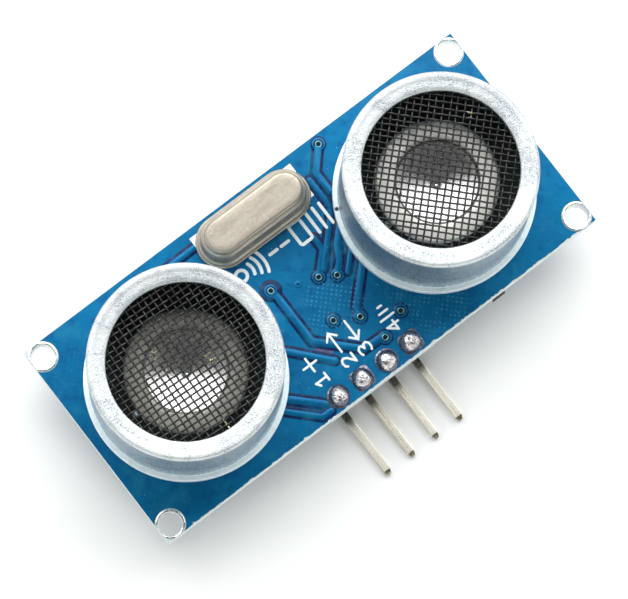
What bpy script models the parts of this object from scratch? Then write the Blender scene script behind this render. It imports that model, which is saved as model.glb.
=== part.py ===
"""Ultrasonic distance sensor: two open transducers, a crystal and a four-pin header on one board.

Metres, +Z up. X runs along the board, Y across it, and both transducers face +Z. The bent header
pins leave the board towards -Y. Z = 0 is the underside of those pins, which is the lowest point,
and X = Y = 0 is the middle of the whole outline, pins included.
"""

import math

import bmesh
import bpy
from mathutils import Matrix, Vector

MM = 0.001
CLEARANCE = 0.02 * MM          # between two pieces that touch or fit into each other
MERGE = 0.0005 * MM            # welds only points that coincide

# Board
BOARD_LENGTH = 45.0 * MM
BOARD_WIDTH = 20.0 * MM
BOARD_THICKNESS = 1.6 * MM
BOARD_TOP = 6.0 * MM
BOARD_BOTTOM = BOARD_TOP - BOARD_THICKNESS
MOUNTING_HOLE_RADIUS = 1.0 * MM
MOUNTING_HOLE_X = 21.4 * MM
MOUNTING_HOLE_Y = 8.8 * MM
LAND_RADIUS = 1.25 * MM        # the plated ring round a mounting hole, on both faces
LAND_HEIGHT = 0.05 * MM
LAND_EDGE_GAP = 0.05 * MM      # left between a land and the board's edge
LAND_STEPS = 24

# Header: 2.54 mm pitch, 0.64 mm square pins bent through a right angle behind the board
PITCH = 2.54 * MM
PIN_COUNT = 4
PIN_WIDTH = 0.64 * MM
PIN_REACH = 6.2 * MM           # beyond the board's edge
PIN_TAIL = 0.75 * MM           # above the board's front
PIN_BEND = 0.75 * MM           # outer radius of the bend
PIN_TIP_CHAMFER = 0.18 * MM
PIN_HOLE_RADIUS = 0.51 * MM
HEADER_Y = -8.8 * MM
HEADER_BODY_WIDTH = 2.1 * MM
HEADER_BODY_HEIGHT = 2.5 * MM
HEADER_NOTCH = 0.4 * MM

# Transducer, measured up from the board's front face
TRANSDUCER_SPACING = 26.1 * MM
CASE_RADIUS = 8.1 * MM
CASE_HEIGHT = 12.0 * MM
CASE_WALL = 0.5 * MM
CASE_LIP = 0.5 * MM
CASE_OPENING = 6.5 * MM
CASE_SHOULDER = 0.6 * MM
FLANGE_RADIUS = 8.58 * MM
FLANGE_HEIGHT = 1.1 * MM
SCREEN_THICKNESS = 0.34 * MM
BASE_THICKNESS = 2.0 * MM
BASE_HEIGHT = 0.3 * MM
DAMPER_HEIGHT = 0.68 * MM
DAMPER_OUTER = 3.2 * MM
DAMPER_INNER = 2.2 * MM
CERAMIC_RADIUS = 4.0 * MM
CERAMIC_THICKNESS = 0.4 * MM
DIAPHRAGM_RADIUS = 4.3 * MM
DIAPHRAGM_THICKNESS = 0.2 * MM
CONE_FLANGE_RADIUS = 5.2 * MM
CONE_BOWL_RADIUS = 3.55 * MM
CONE_HEIGHT = 2.15 * MM
CONE_FOOT_RADIUS = 0.9 * MM
CONE_SHEET = 0.2 * MM
LEAD_SPREAD = 5.0 * MM         # from the transducer's axis
LEAD_RADIUS = 0.4 * MM
LEAD_TOP = 2.6 * MM
LEAD_TAIL = 1.5 * MM           # behind the board
LEAD_HOLE_RADIUS = 0.5 * MM
TAIL_WIRE_RADIUS = 0.09 * MM

# Crystal, in its long low metal can
CRYSTAL_X = -0.4 * MM
CRYSTAL_Y = 7.4 * MM
CRYSTAL_BASE_LENGTH = 11.0 * MM
CRYSTAL_BASE_WIDTH = 4.6 * MM
CRYSTAL_BASE_THICKNESS = 0.45 * MM
CRYSTAL_CAN_LENGTH = 10.2 * MM
CRYSTAL_CAN_WIDTH = 3.8 * MM
CRYSTAL_HEIGHT = 3.6 * MM
CRYSTAL_WALL = 0.25 * MM
CRYSTAL_ROUNDING = 0.5 * MM
CRYSTAL_LEAD_SPREAD = 2.44 * MM
CRYSTAL_LEAD_RADIUS = 0.22 * MM
CRYSTAL_LEAD_TAIL = 1.1 * MM
CRYSTAL_HOLE_RADIUS = 0.35 * MM
QUARTZ_SIZE = Vector((7.4 * MM, 1.8 * MM, 0.2 * MM))
QUARTZ_HEIGHT = 1.9 * MM

# Soldered pieces on the back of the board, placed from its centre
CHIP_PITCH = 1.27 * MM
CHIP_BODY_WIDTH = 3.9 * MM
CHIP_BODY_HEIGHT = 1.45 * MM
CHIP_STANDOFF = 0.15 * MM
CHIP_SPAN = 6.0 * MM           # from lead tip to lead tip
CHIP_LEAD_WIDTH = 0.42 * MM
CHIP_LEAD_THICKNESS = 0.2 * MM
CHIP_BEVEL = 0.12 * MM
CHIP_PLACES = {                # x, y, and the leads along each side
    "driver_chip": (-13.4 * MM, -5.3 * MM, 8),
    "controller_chip": (0.2 * MM, 0.8 * MM, 7),
    "amplifier_chip": (12.6 * MM, 5.6 * MM, 7),
}
TRANSISTOR_PLACE = (-8.6 * MM, 5.6 * MM)
TRANSISTOR_LEG_X = 0.95 * MM
TRANSISTOR_SIZE = Vector((2.9 * MM, 1.3 * MM, 1.0 * MM))
TRANSISTOR_SPAN = 2.4 * MM
RESISTOR_SIZE = Vector((1.6 * MM, 0.8 * MM, 0.45 * MM))
CAPACITOR_SIZE = Vector((1.6 * MM, 0.8 * MM, 0.8 * MM))
EDGE_CAPACITOR_SIZE = Vector((2.0 * MM, 1.25 * MM, 0.85 * MM))
EDGE_CAPACITOR_X = 12.3 * MM
EDGE_CAPACITOR_OVERHANG = 0.15 * MM
PASSIVE_BEVEL = 0.05 * MM
PASSIVE_PITCH = 2.4 * MM
RESISTOR_ROWS = ((8.6 * MM, -3.4 * MM, 4), (-18.0 * MM, 4.4 * MM, 3))   # first x, y, count
CAPACITOR_ROW = (8.6 * MM, -6.7 * MM, 3)
CRYSTAL_CAPACITOR_X = 5.2 * MM                # either side of the crystal's centre
CRYSTAL_CAPACITOR_Y = 6.2 * MM

ROUND_STEPS = 48               # facets round a transducer
SMALL_STEPS = 16               # facets round a pin hole or a solder joint

# The pins reach past one edge only, so the board's middle is off the outline's middle
BOARD_CENTRE = Vector((0.0, PIN_REACH / 2, 0.0))

# Colour, roughness, metallic
FINISHES = {
    "blue_solder_mask": ((0.010, 0.105, 0.300), 0.28, 0.0),
    "satin_aluminium": ((0.80, 0.82, 0.84), 0.34, 1.0),
    "dark_wire_mesh": ((0.040, 0.038, 0.036), 0.45, 0.8),
    "cone_aluminium": ((0.70, 0.70, 0.70), 0.30, 1.0),
    "plate_brass": ((0.72, 0.56, 0.26), 0.35, 1.0),
    "white_ceramic": ((0.78, 0.76, 0.70), 0.55, 0.0),
    "silicone_rubber": ((0.72, 0.71, 0.68), 0.70, 0.0),
    "base_plastic": ((0.025, 0.025, 0.027), 0.60, 0.0),
    "tinned_wire": ((0.74, 0.74, 0.72), 0.30, 1.0),
    "crystal_can_metal": ((0.66, 0.61, 0.53), 0.30, 1.0),
    "quartz_glass": ((0.85, 0.88, 0.88), 0.08, 0.0),
    "header_plastic": ((0.018, 0.018, 0.018), 0.50, 0.0),
    "pin_plating": ((0.72, 0.68, 0.58), 0.25, 1.0),
    "chip_plastic": ((0.022, 0.022, 0.024), 0.55, 0.0),
    "resistor_body": ((0.030, 0.030, 0.032), 0.40, 0.0),
    "capacitor_body": ((0.42, 0.29, 0.17), 0.45, 0.0),
    "solder": ((0.72, 0.72, 0.72), 0.25, 1.0),
}


def clear_scene():
    for obj in list(bpy.data.objects):
        bpy.data.objects.remove(obj, do_unlink=True)


def new_collection(name):
    collection = bpy.data.collections.new(name)
    bpy.context.scene.collection.children.link(collection)
    return collection


def make_materials():
    materials = {}
    for name, (colour, roughness, metallic) in FINISHES.items():
        material = bpy.data.materials.new(name)
        material.use_nodes = True
        shader = material.node_tree.nodes["Principled BSDF"]
        shader.inputs["Base Color"].default_value = (*colour, 1.0)
        shader.inputs["Roughness"].default_value = roughness
        shader.inputs["Metallic"].default_value = metallic
        materials[name] = material
    return materials


def place(name, mesh, finish, parent, location=(0, 0, 0), turn=0.0):
    """Puts a mesh in the model as one named piece."""
    obj = bpy.data.objects.new(name, mesh)
    MODEL.objects.link(obj)
    if not mesh.materials:
        mesh.materials.append(MATERIALS[finish])
    obj.parent = parent
    obj.location = location
    obj.rotation_euler.z = turn
    return obj


def frame_point(name, location):
    empty = bpy.data.objects.new(name, None)
    MODEL.objects.link(empty)
    empty.location = location
    return empty


def mesh_from(name, bm, smooth_angle=math.radians(35)):
    bmesh.ops.recalc_face_normals(bm, faces=bm.faces)
    mesh = bpy.data.meshes.new(name)
    bm.to_mesh(mesh)
    bm.free()
    mesh.shade_smooth()
    mesh.set_sharp_from_angle(angle=smooth_angle)
    return mesh


def circle(radius, steps, x=0.0, y=0.0):
    turns = (2 * math.pi * i / steps for i in range(steps))
    return [(x + radius * math.cos(a), y + radius * math.sin(a)) for a in turns]


def arc(x, y, radius, start, end, steps):
    """Points on an arc from start to end, both in degrees."""
    angles = (math.radians(start + (end - start) * i / steps) for i in range(steps + 1))
    return [(x + radius * math.cos(a), y + radius * math.sin(a)) for a in angles]


def stadium(length, width, steps=10):
    radius = width / 2
    reach = length / 2 - radius
    return arc(reach, 0, radius, -90, 90, steps) + arc(-reach, 0, radius, 90, 270, steps)


def rectangle(length, width, x=0.0, y=0.0):
    half_x = length / 2
    half_y = width / 2
    return [(x + half_x, y - half_y), (x + half_x, y + half_y),
            (x - half_x, y + half_y), (x - half_x, y - half_y)]


def plate_mesh(name, loops, thickness):
    """A flat outline with its holes, made solid from Z = 0 up to the thickness."""
    curve = bpy.data.curves.new(name, "CURVE")
    curve.dimensions = "2D"
    curve.fill_mode = "BOTH"
    curve.extrude = thickness / 2
    for loop in loops:
        spline = curve.splines.new("POLY")
        spline.points.add(len(loop) - 1)
        spline.use_cyclic_u = True
        for point, (x, y) in zip(spline.points, loop):
            point.co = (x, y, 0.0, 1.0)
    outline = bpy.data.objects.new(name, curve)
    MODEL.objects.link(outline)
    evaluated = outline.evaluated_get(bpy.context.evaluated_depsgraph_get())
    flat = bpy.data.meshes.new_from_object(evaluated)
    bm = bmesh.new()
    bm.from_mesh(flat)
    bmesh.ops.remove_doubles(bm, verts=bm.verts, dist=MERGE)
    bmesh.ops.translate(bm, verts=bm.verts, vec=(0, 0, thickness / 2))
    bpy.data.objects.remove(outline)
    bpy.data.curves.remove(curve)
    bpy.data.meshes.remove(flat)
    return mesh_from(name, bm)


def turned_mesh(name, profile, closed):
    """A turned piece's outline in the XZ plane, for a Screw modifier."""
    bm = bmesh.new()
    verts = [bm.verts.new((radius, 0, height)) for radius, height in profile]
    for first, second in zip(verts, verts[1:]):
        bm.edges.new((first, second))
    if closed:
        bm.edges.new((verts[-1], verts[0]))
    mesh = bpy.data.meshes.new(name)
    bm.to_mesh(mesh)
    bm.free()
    return mesh


def turn_on_lathe(obj, steps):
    screw = obj.modifiers.new("Turned", "SCREW")
    screw.axis = "Z"
    screw.angle = 2 * math.pi
    screw.steps = steps
    screw.render_steps = steps
    screw.use_merge_vertices = True
    screw.merge_threshold = MERGE
    screw.use_smooth_shade = True


def turned(name, profile, finish, parent, location=(0, 0, 0), closed=False, steps=ROUND_STEPS):
    """profile runs top to bottom on the outer side; an open one starts and ends on the axis."""
    mesh = turned_mesh(name, profile, closed)
    obj = place(name, mesh, finish, parent, location)
    turn_on_lathe(obj, steps)
    return obj


def disc(name, radius, thickness, height, finish, parent):
    """A solid disc whose underside is at the given height."""
    profile = [(0, thickness), (radius, thickness), (radius, 0), (0, 0)]
    return turned(name, profile, finish, parent, (0, 0, height))


def rod_mesh(name, radius, length, steps=SMALL_STEPS):
    """A round rod standing on Z = 0, with a small chamfer at both ends."""
    bm = bmesh.new()
    bmesh.ops.create_cone(bm, cap_ends=True, segments=steps, radius1=radius, radius2=radius,
                          depth=length)
    bmesh.ops.translate(bm, verts=bm.verts, vec=(0, 0, length / 2))
    rims = [e for e in bm.edges if abs(e.verts[0].co.z - e.verts[1].co.z) < MERGE]
    bmesh.ops.bevel(bm, geom=rims, offset=radius * 0.25, segments=1, affect="EDGES")
    return mesh_from(name, bm)


def block_mesh(name, size, bevel=0.0):
    """A box standing on Z = 0."""
    bm = bmesh.new()
    bmesh.ops.create_cube(bm, size=1.0)
    bmesh.ops.scale(bm, verts=bm.verts, vec=size)
    bmesh.ops.translate(bm, verts=bm.verts, vec=(0, 0, size[2] / 2))
    if bevel:
        bmesh.ops.bevel(bm, geom=bm.edges[:], offset=bevel, segments=1, affect="EDGES")
    return mesh_from(name, bm)


def land_outline(x, y):
    """The land round the mounting hole at x, y, cut straight beside the board's two near edges."""
    reach_x = BOARD_LENGTH / 2 - LAND_EDGE_GAP - abs(x)
    reach_y = BOARD_WIDTH / 2 - LAND_EDGE_GAP - abs(y)
    points = []
    for way_x, way_y in circle(1.0, LAND_STEPS):
        outward_x = max(math.copysign(way_x, way_x * x), MERGE)
        outward_y = max(math.copysign(way_y, way_y * y), MERGE)
        radius = min(LAND_RADIUS, reach_x / outward_x, reach_y / outward_y)
        points.append((x + way_x * radius, y + way_y * radius))
    return points


def add_lands(plate, corners):
    """Raises a land on both faces round each mounting hole, and lines the hole through the plate."""
    bm = bmesh.new()
    bm.from_mesh(plate)
    bpy.data.meshes.remove(plate)
    for x, y in corners:
        centre = Vector((x, y))
        walls = [f for f in bm.faces
                 if all((v.co.xy - centre).length < LAND_RADIUS + MERGE for v in f.verts)]
        bmesh.ops.delete(bm, geom=walls, context="FACES")
        outer = land_outline(x, y)
        inner = circle(MOUNTING_HOLE_RADIUS, LAND_STEPS, x, y)
        top = BOARD_THICKNESS
        rings = [(outer, 0), (outer, -LAND_HEIGHT), (inner, -LAND_HEIGHT),
                 (inner, top + LAND_HEIGHT), (outer, top + LAND_HEIGHT), (outer, top)]
        loops = [[bm.verts.new((*point, height)) for point in points] for points, height in rings]
        for first, second in zip(loops, loops[1:]):
            for i in range(LAND_STEPS):
                j = (i + 1) % LAND_STEPS
                bm.faces.new((first[i], first[j], second[j], second[i]))
    bmesh.ops.remove_doubles(bm, verts=bm.verts, dist=MERGE)
    return mesh_from("circuit_board", bm)


def build_board():
    corners = [(x, y) for x in (-MOUNTING_HOLE_X, MOUNTING_HOLE_X)
               for y in (-MOUNTING_HOLE_Y, MOUNTING_HOLE_Y)]
    holes = [land_outline(x, y) for x, y in corners]
    for x in transducer_lead_places():
        holes.append(circle(LEAD_HOLE_RADIUS, SMALL_STEPS, x, 0))
    for x in pin_places():
        holes.append(circle(PIN_HOLE_RADIUS, SMALL_STEPS, x, HEADER_Y))
    for x in (-CRYSTAL_LEAD_SPREAD, CRYSTAL_LEAD_SPREAD):
        holes.append(circle(CRYSTAL_HOLE_RADIUS, SMALL_STEPS, CRYSTAL_X + x, CRYSTAL_Y))
    outline = rectangle(BOARD_LENGTH, BOARD_WIDTH)
    plate = plate_mesh("board_plate", [outline] + holes, BOARD_THICKNESS)
    place("circuit_board", add_lands(plate, corners), "blue_solder_mask", None,
          BOARD_CENTRE + Vector((0, 0, BOARD_BOTTOM)))


def pin_places():
    first = -PITCH * (PIN_COUNT - 1) / 2
    return [first + PITCH * i for i in range(PIN_COUNT)]


def transducer_lead_places():
    half = TRANSDUCER_SPACING / 2
    return [side * half + lead for side in (-1, 1) for lead in (-LEAD_SPREAD, LEAD_SPREAD)]


def case_profile():
    """Outer side downwards, then the flange, and back up inside to the lip."""
    shoulder = arc(CASE_RADIUS - CASE_SHOULDER, CASE_HEIGHT - CASE_SHOULDER, CASE_SHOULDER, 90, 0, 4)
    edge = 0.08 * MM
    bore = CASE_RADIUS - CASE_WALL
    return ([(CASE_OPENING, CASE_HEIGHT - edge), (CASE_OPENING + edge, CASE_HEIGHT)]
            + shoulder
            + [(CASE_RADIUS, FLANGE_HEIGHT), (FLANGE_RADIUS - edge, FLANGE_HEIGHT),
               (FLANGE_RADIUS, FLANGE_HEIGHT - edge), (FLANGE_RADIUS, CLEARANCE),
               (bore, CLEARANCE), (bore, CASE_HEIGHT - CASE_LIP),
               (CASE_OPENING, CASE_HEIGHT - CASE_LIP)])


def cone_profile():
    """A thin flared bowl with a flat brim, standing on a small flat foot."""
    brim = CONE_HEIGHT
    under = brim - CONE_SHEET
    foot = CONE_FOOT_RADIUS
    return [(0, CONE_SHEET), (foot * 0.8, CONE_SHEET), (CONE_BOWL_RADIUS * 0.72, brim * 0.48),
            (CONE_BOWL_RADIUS, brim), (CONE_FLANGE_RADIUS, brim), (CONE_FLANGE_RADIUS, under),
            (CONE_BOWL_RADIUS + CONE_SHEET * 0.5, under),
            (CONE_BOWL_RADIUS * 0.72 + CONE_SHEET, brim * 0.48 - CONE_SHEET * 0.4),
            (foot + CONE_SHEET * 0.5, 0), (0, 0)]


def build_transducer(side, centre_x):
    """side names the transducer; its pieces stack up from the board's front face."""
    origin = frame_point(side, BOARD_CENTRE + Vector((centre_x, 0, BOARD_TOP)))
    bore = CASE_RADIUS - CASE_WALL - CLEARANCE
    turned(f"{side}_case", case_profile(), "satin_aluminium", origin, closed=True)
    screen_height = CASE_HEIGHT - CASE_LIP - CLEARANCE - SCREEN_THICKNESS
    disc(f"{side}_screen", bore, SCREEN_THICKNESS, screen_height, "dark_wire_mesh", origin)

    lead_hole = LEAD_RADIUS + CLEARANCE
    loops = [circle(bore, ROUND_STEPS)]
    loops += [circle(lead_hole, SMALL_STEPS, x) for x in (-LEAD_SPREAD, LEAD_SPREAD)]
    base = plate_mesh(f"{side}_base", loops, BASE_THICKNESS)
    place(f"{side}_base", base, "base_plastic", origin, (0, 0, BASE_HEIGHT))

    height = BASE_HEIGHT + BASE_THICKNESS + CLEARANCE
    ring = [(DAMPER_INNER, DAMPER_HEIGHT), (DAMPER_OUTER, DAMPER_HEIGHT), (DAMPER_OUTER, 0),
            (DAMPER_INNER, 0)]
    turned(f"{side}_damping_ring", ring, "silicone_rubber", origin, (0, 0, height), closed=True,
           steps=32)
    height += DAMPER_HEIGHT + CLEARANCE
    ceramic_underside = height
    disc(f"{side}_piezo_ceramic", CERAMIC_RADIUS, CERAMIC_THICKNESS, height, "white_ceramic", origin)
    height += CERAMIC_THICKNESS + CLEARANCE
    disc(f"{side}_diaphragm", DIAPHRAGM_RADIUS, DIAPHRAGM_THICKNESS, height, "plate_brass", origin)
    height += DIAPHRAGM_THICKNESS + CLEARANCE
    turned(f"{side}_cone", cone_profile(), "cone_aluminium", origin, (0, 0, height))

    foot = -BOARD_THICKNESS - LEAD_TAIL
    lead = rod_mesh(f"{side}_lead", LEAD_RADIUS, LEAD_TOP - foot)
    for label, sign in (("a", -1), ("b", 1)):
        place(f"{side}_lead_{label}", lead, "tinned_wire", origin, (sign * LEAD_SPREAD, 0, foot))
        build_tail_wire(f"{side}_tail_wire_{label}", sign, ceramic_underside, origin)


def build_tail_wire(name, sign, ceramic_underside, origin):
    """The fine wire from a lead's top up to the underside of the ceramic disc."""
    margin = TAIL_WIRE_RADIUS + CLEARANCE
    start = Vector((sign * LEAD_SPREAD, 0, LEAD_TOP + margin))
    end = Vector((sign * (CERAMIC_RADIUS - 0.3 * MM), 0, ceramic_underside - margin))
    steps = 8
    curve = bpy.data.curves.new(name, "CURVE")
    curve.dimensions = "3D"
    curve.bevel_depth = TAIL_WIRE_RADIUS
    curve.bevel_resolution = 2
    curve.use_fill_caps = True
    spline = curve.splines.new("POLY")
    spline.points.add(steps)
    for i, point in enumerate(spline.points):
        along = i / steps
        sway = 0.35 * MM * math.sin(math.pi * along)
        spot = start.lerp(end, along) + Vector((0, sway, 0))
        point.co = (*spot, 1.0)
    curve.materials.append(MATERIALS["tinned_wire"])
    wire = bpy.data.objects.new(name, curve)
    MODEL.objects.link(wire)
    wire.parent = origin


def build_crystal():
    origin = frame_point("crystal", BOARD_CENTRE + Vector((CRYSTAL_X, CRYSTAL_Y, BOARD_TOP)))
    lead_places = (-CRYSTAL_LEAD_SPREAD, CRYSTAL_LEAD_SPREAD)
    lead_hole = CRYSTAL_LEAD_RADIUS + CLEARANCE
    loops = [stadium(CRYSTAL_BASE_LENGTH, CRYSTAL_BASE_WIDTH)]
    loops += [circle(lead_hole, SMALL_STEPS, x) for x in lead_places]
    base = plate_mesh("crystal_base", loops, CRYSTAL_BASE_THICKNESS)
    place("crystal_base", base, "crystal_can_metal", origin, (0, 0, CLEARANCE))

    can_foot = CRYSTAL_BASE_THICKNESS + 2 * CLEARANCE
    can = place("crystal_can", crystal_can_mesh(CRYSTAL_HEIGHT - can_foot), "crystal_can_metal",
                origin, (0, 0, can_foot))
    shell = can.modifiers.new("Sheet metal", "SOLIDIFY")
    shell.thickness = CRYSTAL_WALL
    shell.offset = -1
    shell.use_even_offset = True

    foot = -BOARD_THICKNESS - CRYSTAL_LEAD_TAIL
    top = QUARTZ_HEIGHT - CLEARANCE
    lead = rod_mesh("crystal_lead", CRYSTAL_LEAD_RADIUS, top - foot, steps=12)
    for number, x in enumerate(lead_places, start=1):
        place(f"crystal_lead_{number}", lead, "tinned_wire", origin, (x, 0, foot))
    place("quartz_blank", block_mesh("quartz_blank", QUARTZ_SIZE), "quartz_glass", origin,
          (0, 0, QUARTZ_HEIGHT))


def crystal_can_mesh(height):
    """The can's outer skin, open below, with a rounded top edge."""
    mesh = plate_mesh("crystal_can", [stadium(CRYSTAL_CAN_LENGTH, CRYSTAL_CAN_WIDTH)], height)
    bm = bmesh.new()
    bm.from_mesh(mesh)
    bmesh.ops.dissolve_limit(bm, angle_limit=math.radians(1), verts=bm.verts, edges=bm.edges)
    top_rim = [e for e in bm.edges if all(v.co.z > height - MERGE for v in e.verts)]
    bmesh.ops.bevel(bm, geom=top_rim, offset=CRYSTAL_ROUNDING, segments=3, profile=0.5,
                    affect="EDGES")
    underside = [f for f in bm.faces if all(v.co.z < MERGE for v in f.verts)]
    bmesh.ops.delete(bm, geom=underside, context="FACES")
    bm.to_mesh(mesh)
    bm.free()
    return mesh


def header_outline():
    """Four cells in a row, each with its corners cut off."""
    half_width = HEADER_BODY_WIDTH / 2
    half_cell = PITCH / 2
    near = []
    far = []
    for x in pin_places():
        near += [(x - half_cell, -half_width + HEADER_NOTCH), (x - half_cell + HEADER_NOTCH, -half_width),
                 (x + half_cell - HEADER_NOTCH, -half_width)]
        far += [(x - half_cell + HEADER_NOTCH, half_width), (x + half_cell - HEADER_NOTCH, half_width),
                (x + half_cell, half_width - HEADER_NOTCH)]
    end = PITCH * PIN_COUNT / 2
    return near + [(end, -half_width + HEADER_NOTCH)] + far[::-1] + [(-end, half_width - HEADER_NOTCH)]


def pin_outline():
    """One bent pin seen from the side: x is along the pin's reach, y is up."""
    half = PIN_WIDTH / 2
    inner = PIN_BEND - PIN_WIDTH
    tip = HEADER_Y + BOARD_WIDTH / 2 + PIN_REACH
    top = BOARD_TOP + PIN_TAIL
    cut = PIN_TIP_CHAMFER
    outer_bend = arc(PIN_BEND - half, PIN_BEND, PIN_BEND, 180, 270, 6)
    inner_bend = arc(PIN_BEND - half, PIN_BEND, inner, 270, 180, 4)
    return ([(-half, top - cut)] + outer_bend
            + [(tip - cut, 0), (tip, cut), (tip, PIN_WIDTH - cut), (tip - cut, PIN_WIDTH)]
            + inner_bend + [(half, top - cut), (half - cut, top), (-half + cut, top)])


def build_header():
    origin = frame_point("header", BOARD_CENTRE + Vector((0, HEADER_Y, 0)))
    slot = PIN_WIDTH + 2 * CLEARANCE
    loops = [header_outline()] + [rectangle(slot, slot, x) for x in pin_places()]
    body = plate_mesh("header_body", loops, HEADER_BODY_HEIGHT)
    underside = BOARD_BOTTOM - CLEARANCE - HEADER_BODY_HEIGHT
    place("header_body", body, "header_plastic", origin, (0, 0, underside))

    pin = plate_mesh("header_pin", [pin_outline()], PIN_WIDTH)
    upright = Matrix(((0, 0, 1, -PIN_WIDTH / 2), (-1, 0, 0, 0), (0, 1, 0, 0), (0, 0, 0, 1)))
    pin.transform(upright)
    pin.flip_normals()
    for number, x in enumerate(pin_places(), start=1):
        place(f"header_pin_{number}", pin, "pin_plating", origin, (x, 0, 0))


def joint_profile(pin_radius, pad_radius, height):
    """A solder fillet round a pin: wide on its pad, drawn up towards the pin."""
    inside = pin_radius + CLEARANCE
    crest = inside + 0.12 * MM
    waist = inside + (pad_radius - inside) * 0.55
    return [(inside, height), (crest, height * 0.97), (waist, height * 0.62),
            (pad_radius * 0.95, height * 0.28), (pad_radius, 0), (inside, 0)]


def build_joints():
    """Header joints stand on the front of the board; the others hang from its back."""
    front = BOARD_TOP + CLEARANCE
    back = BOARD_BOTTOM - CLEARANCE
    pin_radius = PIN_WIDTH / 2 * math.sqrt(2)
    mesh = turned_mesh("pin_joint", joint_profile(pin_radius, 0.98 * MM, 0.8 * MM), True)
    for number, x in enumerate(pin_places(), start=1):
        joint = place(f"pin_joint_{number}", mesh, "solder", None,
                      BOARD_CENTRE + Vector((x, HEADER_Y, front)))
        turn_on_lathe(joint, SMALL_STEPS)

    hanging = [(f"{side}_joint_{label}", x, 0, LEAD_RADIUS, 1.1 * MM, 1.2 * MM)
               for (side, label), x in zip((("transmitter", "a"), ("transmitter", "b"),
                                            ("receiver", "a"), ("receiver", "b")),
                                           transducer_lead_places())]
    hanging += [(f"crystal_joint_{number}", CRYSTAL_X + sign * CRYSTAL_LEAD_SPREAD, CRYSTAL_Y,
                 CRYSTAL_LEAD_RADIUS, 0.8 * MM, 0.9 * MM) for number, sign in ((1, -1), (2, 1))]
    for name, x, y, wire_radius, pad_radius, height in hanging:
        mesh = turned_mesh(name, joint_profile(wire_radius, pad_radius, height), True)
        joint = place(name, mesh, "solder", None, BOARD_CENTRE + Vector((x, y, back)))
        joint.rotation_euler.x = math.pi
        turn_on_lathe(joint, SMALL_STEPS)


def gull_wing(span, body_width, rise):
    """One chip lead seen from its end: out of the body, down, and out along the board."""
    t = CHIP_LEAD_THICKNESS
    root = body_width / 2 - 0.3 * MM
    shoulder = body_width / 2 + 0.25 * MM
    foot = span / 2
    knee = shoulder + (foot - shoulder) * 0.3
    return [(root, rise), (shoulder, rise), (knee, 0), (foot, 0), (foot, t), (knee + t * 0.7, t),
            (shoulder + t * 0.7, rise + t), (root, rise + t)]


def lead_row_mesh(name, places, span, body_width, rise):
    """Separate leads at (x, side) places, ready to be joined to a chip's body."""
    outline = plate_mesh(name, [gull_wing(span, body_width, rise)[::-1]], CHIP_LEAD_WIDTH)
    bm = bmesh.new()
    for x, side in places:
        half_turn = Matrix.Rotation(0 if side > 0 else math.pi, 4, "Z")
        stand_up = Matrix(((0, 0, 1, -CHIP_LEAD_WIDTH / 2), (1, 0, 0, 0), (0, 1, 0, 0), (0, 0, 0, 1)))
        before = len(bm.verts)
        bm.from_mesh(outline)
        bm.verts.ensure_lookup_table()
        fresh = bm.verts[before:]
        bmesh.ops.transform(bm, verts=fresh, matrix=Matrix.Translation((x, 0, 0)) @ half_turn @ stand_up)
    return mesh_from(name, bm)


def build_chip(name, x, y, size, places, span):
    """A moulded body with gull-wing leads, hanging from the back of the board.

    The chip is drawn standing on its feet and turned over, so its own Z points down.
    """
    origin = frame_point(f"{name}_place", BOARD_CENTRE + Vector((x, y, BOARD_BOTTOM - CLEARANCE)))
    origin.rotation_euler.x = math.pi
    body_mesh = block_mesh(name, size, bevel=CHIP_BEVEL)
    body = place(name, body_mesh, "chip_plastic", origin, (0, 0, CHIP_STANDOFF))
    rise = CHIP_STANDOFF + size[2] / 2 - CHIP_LEAD_THICKNESS / 2
    leads = bpy.data.objects.new(f"{name}_leads", lead_row_mesh(name, places, span, size[1], rise))
    CUTTERS.objects.link(leads)
    leads.parent = origin
    leads.hide_render = True
    leads.display_type = "WIRE"
    join = body.modifiers.new("Leads", "BOOLEAN")
    join.operation = "UNION"
    join.object = leads
    join.solver = "EXACT"


def build_chips():
    for name, (x, y, per_side) in CHIP_PLACES.items():
        length = CHIP_PITCH * per_side - 0.25 * MM
        size = Vector((length, CHIP_BODY_WIDTH, CHIP_BODY_HEIGHT))
        first = -CHIP_PITCH * (per_side - 1) / 2
        places = [(first + CHIP_PITCH * i, side) for side in (-1, 1) for i in range(per_side)]
        build_chip(name, x, y, size, places, CHIP_SPAN)
    legs = [(-TRANSISTOR_LEG_X, -1), (TRANSISTOR_LEG_X, -1), (0.0, 1)]
    build_chip("transistor", *TRANSISTOR_PLACE, TRANSISTOR_SIZE, legs, TRANSISTOR_SPAN)


def build_passives():
    """Flat chip resistors and capacitors in short rows, and one capacitor over the board's edge."""
    upright = math.pi / 2
    resistors = [(x + PASSIVE_PITCH * i, y, upright)
                 for x, y, count in RESISTOR_ROWS for i in range(count)]
    x, y, count = CAPACITOR_ROW
    capacitors = [(x + 2 * PASSIVE_PITCH * i, y, 0.0) for i in range(count)]
    capacitors += [(CRYSTAL_X + side * CRYSTAL_CAPACITOR_X, CRYSTAL_CAPACITOR_Y, upright)
                   for side in (-1, 1)]
    rows = (("resistor", RESISTOR_SIZE, resistors), ("capacitor", CAPACITOR_SIZE, capacitors))
    for kind, size, places in rows:
        mesh = block_mesh(kind, size, bevel=PASSIVE_BEVEL)
        for number, (x, y, turn) in enumerate(places, start=1):
            hang_from_board(f"{kind}_{number}", mesh, size, f"{kind}_body", x, y, turn)

    size = EDGE_CAPACITOR_SIZE
    y = size[0] / 2 - BOARD_WIDTH / 2 - EDGE_CAPACITOR_OVERHANG
    mesh = block_mesh("edge_capacitor", size, bevel=PASSIVE_BEVEL)
    hang_from_board("edge_capacitor", mesh, size, "capacitor_body", EDGE_CAPACITOR_X, y, upright)


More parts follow.
